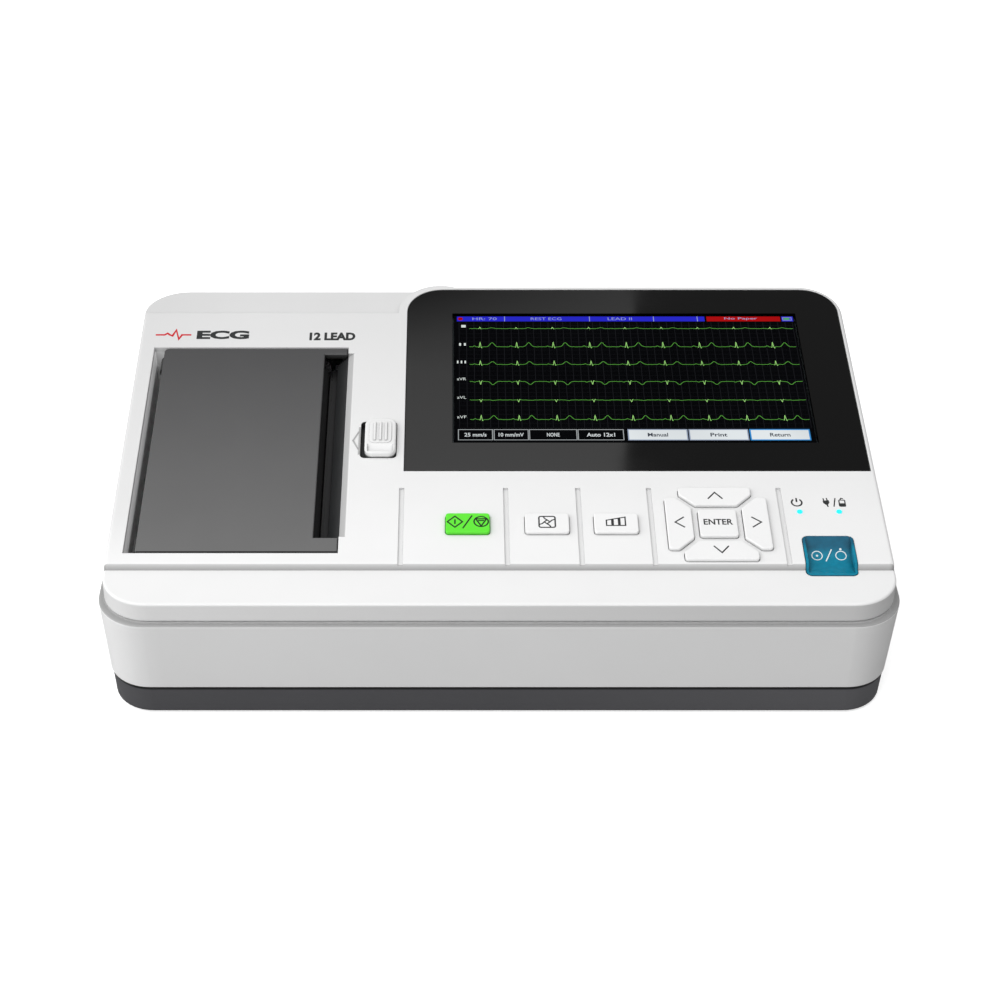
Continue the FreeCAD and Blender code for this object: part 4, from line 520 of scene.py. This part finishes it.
def steel_screw():
    return metal("steel_screw", "b9babd", 0.28, None, 0.3 * MM, 0.006 * MM).done()


def turned_steel():
    return metal("turned_steel", "c9cacc", 0.16, (1, 14, 1), 0.3 * MM, 0.003 * MM).done()


def sheet_steel():
    """Black zinc-plated sheet, with spangle and rolling lines."""
    finish = metal("sheet_steel", "4a4c4e", 0.44, (1, 9, 9), 0.8 * MM, 0.006 * MM)
    return finish.shade(finish.between(finish.cells(2.4 * MM), 0.1, 0.9, 0.85, 1.1)).done()


def metal_case():
    return metal("metal_case", "a3a7aa", 0.38, (9, 1, 9), 0.7 * MM, 0.01 * MM).done()


def head_ceramic():
    finish = moulded("head_ceramic", "151516", 0.3, 0.3 * MM, 0.003 * MM, 0.1 * MM)
    return finish.set("Coat Weight", 0.25).done()


def sink_aluminium():
    """Black anodised aluminium, brushed along the head."""
    finish = moulded("sink_aluminium", "1b1b1c", 0.4, 0.5 * MM, 0.006 * MM, 0.15 * MM)
    return finish.grain(0.5 * MM, 0.008 * MM, 2.0, (9, 1, 9)).done()


def motor_can():
    return metal("motor_can", "4b4d50", 0.4, None, 0.4 * MM, 0.008 * MM).done()


def brass_gear():
    return metal("brass_gear", "c79c4a", 0.22, None, 0.3 * MM, 0.004 * MM).done()


def spring_steel():
    return metal("spring_steel", "8b8d90", 0.24, None, 0.3 * MM, 0.004 * MM).done()


def socket_metal():
    return metal("socket_metal", "b4b7b9", 0.24, None, 0.4 * MM, 0.004 * MM).done()


def earth_brass():
    return metal("earth_brass", "cfa85a", 0.2, None, 0.4 * MM, 0.004 * MM).done()


MAKERS = [
    white_shell, band_shell, dark_base, foot_rubber, steel_screw, clear_lens, dome_rubber, circuit_board,
    cover_glass, tinted_door, platen_rubber, turned_steel, sheet_steel, head_ceramic, sink_aluminium,
    motor_can, gear_nylon, brass_gear, spring_steel, dark_plastic, tray_plastic, green_key, white_key,
    teal_key, latch_plastic, battery_wrap, metal_case, chips, harness, socket_metal, earth_brass,
]

# Parts that look darker than their slot because they sit in shade, given a darker finish as painted shade.
DARKER_FOR_SHADE = {"latch_slider": "dark_plastic"}

# The lit area of a 7 inch wide display and its centre on the panel, in millimetres.
SCREEN_SIZE = Vector((154.08, 85.92))
SCREEN_X, SCREEN_S = panel_box("display_module")


def screen_mask(finish, margin):
    """1 over the screen's lit area, which the display module is centred on."""
    x, s = finish.panel_place()[:2]
    half_x = SCREEN_SIZE.x / 2 * MM + margin
    half_s = SCREEN_SIZE.y / 2 * MM + margin
    across = finish.inside(x, SCREEN_X * MM - half_x, SCREEN_X * MM + half_x)
    up = finish.inside(s, SCREEN_S * MM - half_s, SCREEN_S * MM + half_s)
    return finish.both(across, up)


def paint_cad_nodes():
    """Gives each CAD node the finish of its slot in the record, or a darker one, as painted shade, inside
    the paper slot.
    """
    finishes = {maker.__name__: maker() for maker in MAKERS}
    finishes["display"] = display_face()
    finishes["cable"] = flat_cable()
    for part in frame["record"]["subparts"]:
        mesh = frame["nodes"][part["node"]].data
        mesh.materials.clear()
        mesh.materials.append(finishes[DARKER_FOR_SHADE.get(part["node"], part["material_slot"])])


def make_head_springs():
    """The print head's three springs, as a copy of their CAD node that rides on the casing."""
    source = frame["nodes"]["head_springs"]
    springs = bpy.data.objects.new("head_coil_springs", source.data.copy())
    bpy.context.scene.collection.objects.link(springs)
    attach(springs, CASING)
    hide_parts("head_springs")
    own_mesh(springs)


paint_cad_nodes()
make_head_springs()


# ---------------------------------------------------------------- flat marks


def circle_points(centre, radius, angles):
    """Points of a circle at angles in radians."""
    return [(centre[0] + radius * math.cos(a), centre[1] + radius * math.sin(a)) for a in angles]


def lowest_first(ring):
    """The same ring of corners from its lowest one on, since extruding orders them anew each run."""
    start = ring.index(min(ring))
    return ring[start:] + ring[:start]


class Drawing:
    """Thin flat marks in millimetres, gathered into one mesh."""

    def __init__(self, x=0.0, y=0.0, turn=0.0):
        self.x, self.y, self.turn = x, y, turn
        self.points, self.faces = [], []
        self.radius = 0.0

    def at(self, point):
        """A point of the mark, turned and moved to its place."""
        c, s = math.cos(self.turn), math.sin(self.turn)
        return self.x + c * point[0] - s * point[1], self.y + s * point[0] + c * point[1]

    def polygon(self, points):
        start = len(self.points)
        self.points += [self.at(p) for p in points]
        self.faces.append(list(range(start, len(self.points))))
        return self

    def line(self, points, width, closed=False):
        """A ribbon along points, with mitred corners."""
        path = [Vector(p) for p in points]
        count = len(path)
        sides = []
        for i, here in enumerate(path):
            before = path[i - 1] if closed or i else None
            after = path[(i + 1) % count] if closed or i < count - 1 else None
            first = (here - before).normalized() if before else (after - here).normalized()
            second = (after - here).normalized() if after else first
            across = Vector((-first.y - second.y, first.x + second.x))
            across = across.normalized() if across.length > 1e-6 else Vector((-first.y, first.x))
            reach = width / 2 / max(across.dot(Vector((-first.y, first.x))), 0.45)
            sides.append((here + across * reach, here - across * reach))
        start = len(self.points)
        for left, right in sides:
            self.points += [self.at(left), self.at(right)]
        for i in range(count if closed else count - 1):
            a, b = start + 2 * i, start + 2 * ((i + 1) % count)
            self.faces.append([a, a + 1, b + 1, b])
        return self

    def arc(self, centre, radius, width, start=0.0, sweep=360.0):
        steps = max(8, int(abs(sweep) / 12))
        closed = abs(sweep) >= 360
        count = steps if closed else steps + 1
        angles = [math.radians(start + sweep * i / steps) for i in range(count)]
        return self.line(circle_points(centre, radius, angles), width, closed)

    def disc(self, centre, radius):
        return self.polygon(circle_points(centre, radius, [math.tau * i / 20 for i in range(20)]))

    def box(self, left, bottom, right, top):
        return self.polygon([(left, bottom), (right, bottom), (right, top), (left, top)])

    def frame(self, left, bottom, right, top, width, radius=0.0):
        """An outlined rectangle, with rounded corners if a radius is given."""
        if not radius:
            return self.line([(left, bottom), (right, bottom), (right, top), (left, top)], width, True)
        corners = (
            (right - radius, top - radius, 0),
            (left + radius, top - radius, 90),
            (left + radius, bottom + radius, 180),
            (right - radius, bottom + radius, 270),
        )
        points = []
        for x, y, first in corners:
            points += circle_points((x, y), radius, [math.radians(first + 30 * step) for step in range(4)])
        return self.line(points, width, True)

    def text(self, words, left, bottom, width, height, bold=0.0):
        """Words fitted into a rectangle."""
        curve = bpy.data.curves.new("words", "FONT")
        curve.body = words
        curve.offset = bold
        curve.resolution_u = 3
        item = bpy.data.objects.new("words", curve)
        bpy.context.scene.collection.objects.link(item)
        mesh = bpy.data.meshes.new_from_object(item.evaluated_get(bpy.context.evaluated_depsgraph_get()))
        xs = [v.co.x for v in mesh.vertices]
        ys = [v.co.y for v in mesh.vertices]
        wide, high = max(xs) - min(xs), max(ys) - min(ys)
        start = len(self.points)
        for v in mesh.vertices:
            x = left + (v.co.x - min(xs)) / wide * width
            y = bottom + (v.co.y - min(ys)) / high * height
            self.points.append(self.at((x, y)))
        for face in mesh.polygons:
            self.faces.append([start + i for i in face.vertices])
        bpy.data.objects.remove(item)
        bpy.data.curves.remove(curve)
        bpy.data.meshes.remove(mesh)
        return self

    def add(self, other):
        start = len(self.points)
        self.points += other.points
        self.faces += [[start + i for i in face] for face in other.faces]
        return self

    def bent(self, radius):
        """Rolls the marks up along y on the inside of a cylinder that touches the plane at y = 0."""
        self.radius = radius
        return self

    def lifted(self, point, height):
        """A point of the marks in metres, at a height over the plane or the cylinder."""
        x, y = point
        if not self.radius:
            return Vector((x, y, height)) * MM
        angle, reach = y / self.radius, self.radius - height
        return Vector((x, reach * math.sin(angle), self.radius - reach * math.cos(angle))) * MM

    def build(self, name, material, body, level, thickness=0.03, plane=PANEL):
        """Raises the marks off their plane by level and thickness, and lets them ride on a CAD body."""
        mesh = bmesh.new()
        points = [mesh.verts.new(self.lifted(point, level + thickness)) for point in self.points]
        for face in self.faces:
            mesh.faces.new([points[i] for i in face])
        bmesh.ops.remove_doubles(mesh, verts=mesh.verts, dist=0.002 * MM)
        for face in mesh.faces:
            if face.normal.z < 0:
                face.normal_flip()
        rims = bmesh.ops.extrude_face_region(mesh, geom=mesh.faces[:])
        lower = [v for v in rims["geom"] if isinstance(v, bmesh.types.BMVert)]
        bmesh.ops.translate(mesh, verts=lower, vec=(0, 0, -thickness * MM))
        bmesh.ops.recalc_face_normals(mesh, faces=mesh.faces)
        data = bpy.data.meshes.new(name)
        mesh.verts.index_update()
        rings = [[v.index for v in face.verts] for face in mesh.faces]
        data.from_pydata([v.co[:] for v in mesh.verts], [], sorted(map(lowest_first, rings)))
        mesh.free()
        data.materials.append(material)
        item = bpy.data.objects.new(name, data)
        bpy.context.scene.collection.objects.link(item)
        item.matrix_world = plane
        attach(item, body)


def printed(name, code):
    """Pad-printed ink: slightly uneven cover and a satin face."""
    finish = Finish(name, code, 0.5).grain(0.2 * MM, 0.004 * MM)
    return finish.gloss(0.42, 0.58, 2 * MM).mottle(1.5 * MM, 0.08).done()


def lit(name, code):
    """A lit colour of the screen, with the faint unevenness of a backlight."""
    finish = Finish(name, "030303", 0.5)
    glow = finish.between(finish.noise(35 * MM, 1.0), 0.3, 0.7, 0.9, 1.05)
    finish.set("Emission Color", colour(code)).set("Specular IOR Level", 0.0)
    return finish.set("Emission Strength", glow).done()


INK_DARK = printed("ink_dark", "262829")
INK_BLACK = printed("ink_black", "0c110a")
INK_RED = printed("ink_red", "d01020")
INK_WHITE = printed("ink_white", "e9f2f4")


# ---------------------------------------------------------------- marks on keys and panel

# How far the keys stand over the panel, and the width of the lines printed on them, in millimetres.
KEY_TOP = 1.5
STROKE = 0.6


def key_mark(key, drawing, material=INK_DARK):
    drawing.build(f"{key}_mark", material, f"{key}_cap", KEY_TOP)


def mark_start_key():
    """Start and stop: a diamond with a bar, a slash and a ring with a pointing triangle."""
    mark = Drawing(*panel_box("start_key"))
    mark.line([(-8.3, 0.2), (-5.2, -3.0), (-2.1, 0.2), (-5.2, 3.4)], STROKE, True)
    mark.line([(-5.2, -1.1), (-5.2, 1.6)], STROKE)
    mark.line([(-2.0, -3.6), (1.8, 3.8)], STROKE)
    mark.arc((5.5, 0.3), 2.9, STROKE)
    mark.line([(3.3, 1.9), (5.5, -2.3), (7.7, 1.9)], STROKE, True)
    mark.line([(4.3, 0.9), (6.7, 0.9)], STROKE)
    key_mark("start_key", mark, INK_BLACK)


def mark_trace_key():
    """Trace layout: a rounded frame with crossing sweeps round a small diamond."""
    mark = Drawing(*panel_box("trace_key"))
    mark.frame(-3.3, -3.1, 3.3, 3.3, STROKE, 0.8)
    corner, reach = 1.15, 3.2
    bow = [(corner, 0), (0, corner), (-0.9, 1.9), (corner - reach + 0.5, reach)]
    for quarter in range(4):
        c, s = math.cos(quarter * math.pi / 2), math.sin(quarter * math.pi / 2)
        mark.line([(x * c - y * s, 0.1 + x * s + y * c) for x, y in bow], STROKE * 0.9)
    key_mark("trace_key", mark)


def mark_gain_key():
    """Gain: three outlined bars that grow to the right."""
    mark = Drawing(*panel_box("gain_key"))
    for i in range(3):
        left, width, height = -4.0 + 2.75 * i, 2.2, 3.2 + 0.65 * i
        corners = [(left, -2.0), (left + width, -2.0), (left + width, height - 1.6), (left, height - 2.1)]
        mark.line(corners, STROKE * 0.9, True)
    key_mark("gain_key", mark)


def mark_pad_keys():
    """Arrowheads on the four pad keys and the word on the middle one."""
    for i, key in enumerate(("up_key", "left_key", "down_key", "right_key")):
        mark = Drawing(*panel_box(key), turn=i * math.pi / 2)
        mark.line([(-3.0, -1.9), (0, 1.9), (3.0, -1.9)], STROKE)
        key_mark(key, mark)
    mark = Drawing(*panel_box("enter_key"))
    mark.text("ENTER", -5.95, -1.5, 11.9, 3.3, 0.02)
    key_mark("enter_key", mark)


def mark_power_key():
    """On and off, in the key's round scoop: a ring with a dot, a slash and a ring with a dot above."""
    axis_s, axis_n, radius = 7.0, 13.1, 17.0
    x = panel_box("power_key")[0]
    mark = Drawing(0, 3.4).bent(radius)
    mark.arc((-4.6, 0), 2.1, 0.4).disc((-4.6, 0), 0.5)
    mark.line([(-1.2, -2.8), (1.5, 3.0)], 0.5)
    mark.arc((5.1, 0), 2.1, 0.4).disc((5.1, 3.0), 0.5)
    place = Matrix.Translation(Vector((x, axis_s, axis_n - radius)) * MM)
    mark.build("power_key_mark", INK_WHITE, "power_key_cap", 0.0, 0.03, PANEL @ place)


def mark_indicators():
    """Power symbol, and plug and battery, over the two lights."""
    low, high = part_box("indicator_lenses")
    left, right = low.x / MM + 1.9, high.x / MM - 1.9
    s = panel_box("indicator_lenses")[1] + 5.4
    mark = Drawing(left - 0.6, s)
    mark.arc((0, 0), 2.1, 0.7, 125, 290).line([(0, 0.3), (0, 2.6)], 0.7)
    plug = Drawing(right - 4.6, s, 0.15)
    plug.polygon([(-1.3, 1.2), (-1.3, -0.2), (-0.5, -1.3), (0.5, -1.3), (1.3, -0.2), (1.3, 1.2)])
    plug.line([(-0.7, 1.2), (-0.7, 2.6)], 0.5).line([(0.7, 1.2), (0.7, 2.6)], 0.5)
    plug.line([(0, -1.3), (0.1, -2.6)], 0.6)
    mark.add(plug)
    slash = Drawing(right - 1.2, s)
    slash.line([(-0.5, -2.5), (0.5, 2.6)], 0.5)
    mark.add(slash)
    cell = Drawing(right + 1.9, s)
    cell.frame(-1.2, -2.3, 1.2, 1.4, 0.5, 0.4).box(-1.2, -2.3, 1.2, -0.5)
    cell.line([(-0.6, 1.7), (-0.2, 2.5), (0.7, 2.2)], 0.5)
    mark.add(cell)
    mark.build("indicator_marks", INK_DARK, CASING, 0.0)


def mark_nameplate():
    """A plain name behind the paper window: a heartbeat line and the machine's kind."""
    left, row, height = -152.0, 144.0, 6.0
    beat = Drawing(left, row + height / 2)
    path = [(0, 0), (4, 0), (5.2, 1.1), (6.4, 0), (7.6, -0.7), (9.0, 3.4), (10.6, -3.0), (11.8, 0), (16, 0)]
    beat.line(path, 1.0)
    beat.build("heartbeat_mark", INK_RED, CASING, 0.0)
    words = Drawing(left, row)
    words.text("ECG", 18.5, 0, 23.5, height, 0.05)
    words.text("12 LEAD", 69.2, -0.8, 20.6, height - 0.5, 0.05)
    words.build("name_marks", INK_DARK, CASING, 0.0)


def emboss_latch_arrow():
    """The raised arrowhead beside the latch, which shows which way it slides; its grey is painted shade for
    its narrow sides.
    """
    arrow = Drawing(-58.3, 76.0)
    arrow.line([(0.0, -8.7), (0.0, 8.4)], 0.65)
    arrow.line([(-0.3, -5.6), (-2.7, 0.0), (-0.3, 5.6)], 0.55)
    # The arrow's grey plastic is painted shade.
    relief = moulded("latch_arrow_painted_shade", "b2b2b2", 0.45).done()
    arrow.build("latch_arrow", relief, CASING, -0.02, 0.2)


mark_start_key()
mark_trace_key()
mark_gain_key()
mark_pad_keys()
mark_power_key()
mark_indicators()
mark_nameplate()
emboss_latch_arrow()


# ---------------------------------------------------------------- what the screen shows

# The level of the screen's face under the panel, and the step and thickness of the layers on it.
SCREEN_LEVEL = -1.585
LAYER = 0.012
LAYER_THICKNESS = 0.008


def show(name, drawing, code, layer):
    """One colour of the screen's picture, a hair above the layer below."""
    drawing.build(name, lit(name, code), CASING, SCREEN_LEVEL + LAYER * layer, LAYER_THICKNESS)


def heartbeat(t, r, wave):
    """Height of the trace t millimetres after a beat's spike, in millimetres.

    A beat is a sum of bumps, each with its place, width and size; r and wave are the sizes of the
    spike and of the slow wave after it.
    """
    bumps = (
        (-2.6, 0.55, 0.22 * wave),
        (-0.55, 0.22, -0.15 * r),
        (0.0, 0.25, 1.15 * r),
        (0.65, 0.25, -0.3 * r),
        (5.4, 1.3, wave),
    )
    return sum(size * math.exp(-(((t - place) / width) ** 2)) for place, width, size in bumps)


def draw_traces():
    """Six leads across the screen, each a run of nine beats."""
    leads = [
        ("I", 153.4, 0.8, 0.6),
        ("II", 140.5, 2.9, 2.9),
        ("III", 128.2, 2.2, 2.0),
        ("aVR", 116.6, -1.8, -2.1),
        ("aVL", 104.2, -1.1, -0.3),
        ("aVF", 91.3, 2.5, 2.6),
    ]
    first_beat, beat_gap, spike_half = -6.2, 16.4, 0.8
    left, right, step = -11.0, 135.4, 0.15
    traces, spikes, names = Drawing(), Drawing(), Drawing()
    count = int((right - left) / step)
    for name, base, r, wave in leads:
        points, spike = [], []
        for i in range(count + 1):
            x = left + step * i
            phase = (x - first_beat + beat_gap / 2) % beat_gap - beat_gap / 2
            height = heartbeat(phase, r, wave) + heartbeat(phase + beat_gap, r, wave)
            ripple = 0.09 * math.sin(2.1 * x + base) * math.sin(0.73 * x)
            points.append((x, base + height + ripple))
            if abs(phase) < spike_half:
                spike.append(points[-1])
            elif spike:
                spikes.line(spike, 0.26)
                spike = []
        traces.line(points, 0.25)
        width = len(name) + 1.0
        names.text(name, -12.6 - width, base + 0.8, width, 1.8)
    show("screen_traces", traces, "68ba4a", 3)
    show("screen_spikes", spikes, "b4f58a", 4)
    show("screen_lead_names", names, "f2f6f2", 3)


def draw_grid():
    """Faint ruled squares behind the traces."""
    left, right, bottom, top = -15.6, 136.0, 86.0, 158.0
    pitch_x, pitch_s, width = 3.36, 2.9, 0.2
    grid = Drawing()
    for i in range(int((right - left) / pitch_x) + 1):
        grid.line([(left + pitch_x * i, bottom), (left + pitch_x * i, top)], width)
    show("screen_grid", grid, "242428", 1)
    rows = Drawing()
    for i in range(int((top - bottom) / pitch_s) + 1):
        rows.line([(left, bottom + pitch_s * i), (right, bottom + pitch_s * i)], width)
    show("screen_grid_rows", rows, "17171a", 2)


def draw_header():
    """The bar along the top: status fields, a warning field and a battery."""
    bottom, top = 158.6, 162.1
    bar = Drawing().box(-16.6, bottom, 96.0, top)
    show("screen_header", bar, "2c2cd6", 1)
    warning = Drawing().box(96.9, bottom, 130.4, top)
    warning.disc((-15.0, 160.4), 1.15)
    show("screen_warning", warning, "b80f12", 2)
    cell = Drawing().box(131.0, bottom, 136.2, top)
    show("screen_cell", cell, "3a3ad8", 1)
    marks = Drawing()
    for x in (5.1, 43.7, 72.8, 92.7):
        marks.line([(x, bottom), (x, top)], 0.35)
    marks.text("HR: 70", -9.5, bottom + 0.9, 11, 1.9)
    marks.text("REST ECG", 17, bottom + 0.9, 14, 1.9)
    marks.text("LEAD II", 52, bottom + 0.9, 11, 1.9)
    marks.text("No Paper", 105, bottom + 0.9, 15, 2.0)
    marks.frame(131.6, bottom + 0.8, 135.4, top - 0.8, 0.3)
    show("screen_header_marks", marks, "a8b0e0", 3)
    charge = Drawing().box(132.0, bottom + 1.2, 134.6, top - 1.2)
    show("screen_charge", charge, "58c24a", 4)


def draw_footer():
    """Four setting fields and three soft buttons along the bottom."""
    bottom, top = 78.2, 84.8
    fields = [
        (-16.1, -1.5, "25 mm/s"),
        (-0.8, 13.8, "10 mm/mV"),
        (14.4, 34.6, "NONE"),
        (35.2, 54.6, "Auto 12x1"),
    ]
    buttons = [(56.7, 81.9, "Manual"), (82.9, 107.9, "Print"), (109.0, 134.3, "Return")]
    outlines, plates, rims, words, labels = (Drawing() for _ in range(5))
    for left, right, label in fields:
        outlines.frame(left, bottom, right, top, 0.35)
        width = min(1.35 * len(label), right - left - 2)
        words.text(label, (left + right - width) / 2, bottom + 2.1, width, 2.4, 0.02)
    for left, right, label in buttons:
        plates.box(left, bottom, right, top)
        rims.frame(left, bottom, right, top, 0.5)
        width = 1.45 * len(label)
        labels.text(label, (left + right - width) / 2, bottom + 2.1, width, 2.4, 0.02)
    focus = Drawing().frame(buttons[2][0], bottom, buttons[2][1], top, 0.6)
    show("screen_fields", outlines, "b8babc", 2)
    show("screen_field_words", words, "e8eaec", 3)
    show("screen_buttons", plates, "fafcff", 1)
    show("screen_button_rims", rims, "a9b4cc", 2)
    show("screen_focus", focus, "3f9be6", 3)
    show("screen_button_words", labels, "4a4e58", 3)


draw_grid()
draw_traces()
draw_header()
draw_footer()


# ---------------------------------------------------------------- stage, light and camera


def make_floor():
    """A wide pale sweep, evenly lit so that only a soft shadow shows on it."""
    data = bpy.data.meshes.new("floor")
    mesh = bmesh.new()
    bmesh.ops.create_circle(mesh, cap_ends=True, segments=96, radius=8.0)
    mesh.to_mesh(data)
    mesh.free()
    floor = bpy.data.objects.new("floor", data)
    bpy.context.scene.collection.objects.link(floor)
    finish = Finish("floor_paper", "f4f4f4", 0.9).grain(3 * MM, 0.02 * MM).mottle(0.3, 0.004)
    seen = finish.node("ShaderNodeLightPath").outputs["Is Camera Ray"]
    finish.tint = finish.mix(seen, colour("8c8c8c"), finish.tint)
    finish.set("Emission Color", (1, 1, 1, 1)).set("Emission Strength", finish.math("MULTIPLY", seen, 0.55))
    data.materials.append(finish.done())


def make_world():
    """A plain studio: bright overhead and to the left, dimmer in front; one dark card edge for the glass."""
    world = bpy.data.worlds.new("studio")
    bpy.context.scene.world = world
    world.use_nodes = True
    nodes, links = world.node_tree.nodes, world.node_tree.links
    background = nodes["Background"]

    def node(kind, *values, **settings):
        item = nodes.new(kind)
        for name, value in settings.items():
            setattr(item, name, value)
        for socket, value in zip(item.inputs, values):
            if isinstance(value, bpy.types.NodeSocket):
                links.new(value, socket)
            else:
                socket.default_value = value
        return item.outputs

    def calc(operation, *values):
        return node("ShaderNodeMath", *values, operation=operation)[0]

    def ramp(value, low, high, to_low, to_high):
        return node("ShaderNodeMapRange", value, low, high, to_low, to_high, clamp=True)[0]

    way = node("ShaderNodeTexCoord")["Generated"]
    x, y, z = node("ShaderNodeSeparateXYZ", way)
    level = calc("ADD", calc("MULTIPLY", x, x), calc("ADD", calc("MULTIPLY", y, y), 0.0001))
    total = 0.0
    for side, axis, sign in (("left", x, -1), ("right", x, 1), ("front", y, -1), ("back", y, 1)):
        share = calc("POWER", calc("MAXIMUM", calc("MULTIPLY", axis, sign), 0.0), 2.0)
        share = calc("MULTIPLY", calc("DIVIDE", share, level), STUDIO_SIDES[side])
        total = calc("ADD", share, total)
    height = ramp(z, 0.15, 0.85, 0.0, 1.0)
    rise = calc("MULTIPLY", calc("SUBTRACT", STUDIO_TOP, total), height)
    soft = calc("ADD", total, rise)

    edge = node("ShaderNodeVectorMath", way, MIRROR_EDGE, operation="DOT_PRODUCT")["Value"]
    lit_side = calc("LESS_THAN", edge, 0.0)
    climb = ramp(z, 0.70, 0.775, 0.58, 1.15)
    corner = calc("MULTIPLY", ramp(x, -0.02, 0.09, 1.0, 0.0), ramp(z, 0.70, 0.73, 1.0, 0.0))
    bright = calc("MULTIPLY", climb, calc("SUBTRACT", 1.0, corner))
    dark = calc("MULTIPLY", calc("SUBTRACT", 1.0, lit_side), MIRROR_DARK)
    seen = calc("ADD", calc("MULTIPLY", lit_side, bright), dark)
    behind = calc("MULTIPLY", ramp(y, 0.2, 0.4, 0.0, 1.0), ramp(z, 0.3, 0.5, 0.0, 1.0))
    mirror = calc("ADD", soft, calc("MULTIPLY", calc("SUBTRACT", seen, soft), behind))

    path = node("ShaderNodeLightPath")
    light = calc("ADD", soft, calc("MULTIPLY", calc("SUBTRACT", mirror, soft), path["Is Glossy Ray"]))
    light = calc("ADD", light, calc("MULTIPLY", calc("SUBTRACT", 1.0, light), path["Is Camera Ray"]))
    background.inputs["Color"].default_value = (1, 1, 1, 1)
    links.new(light, background.inputs["Strength"])


def make_lamp():
    """One broad softbox over the front edge, which lights the keys and the lip most."""
    data = bpy.data.lights.new("softbox", "AREA")
    data.shape = "RECTANGLE"
    data.size, data.size_y = LAMP_SIZE
    data.energy = LAMP_POWER
    lamp = bpy.data.objects.new("softbox", data)
    bpy.context.scene.collection.objects.link(lamp)
    lamp.location = LAMP_PLACE
    lamp.rotation_euler = (LAMP_AIM - LAMP_PLACE).to_track_quat("-Z", "Y").to_euler()


def make_camera():
    """The viewpoint: ahead of the keys and well above them."""
    data = bpy.data.cameras.new("camera")
    data.lens = CAMERA_LENS
    data.sensor_width = 36
    data.shift_x = CAMERA_SHIFT
    data.clip_start = 0.01
    camera = bpy.data.objects.new("camera", data)
    bpy.context.scene.collection.objects.link(camera)
    camera.location = CAMERA_PLACE
    camera.rotation_euler = (math.radians(90 - CAMERA_PITCH), 0, 0)
    bpy.context.scene.camera = camera


make_floor()
make_world()
make_lamp()
make_camera()
bpy.context.scene.view_settings.view_transform = "Standard"
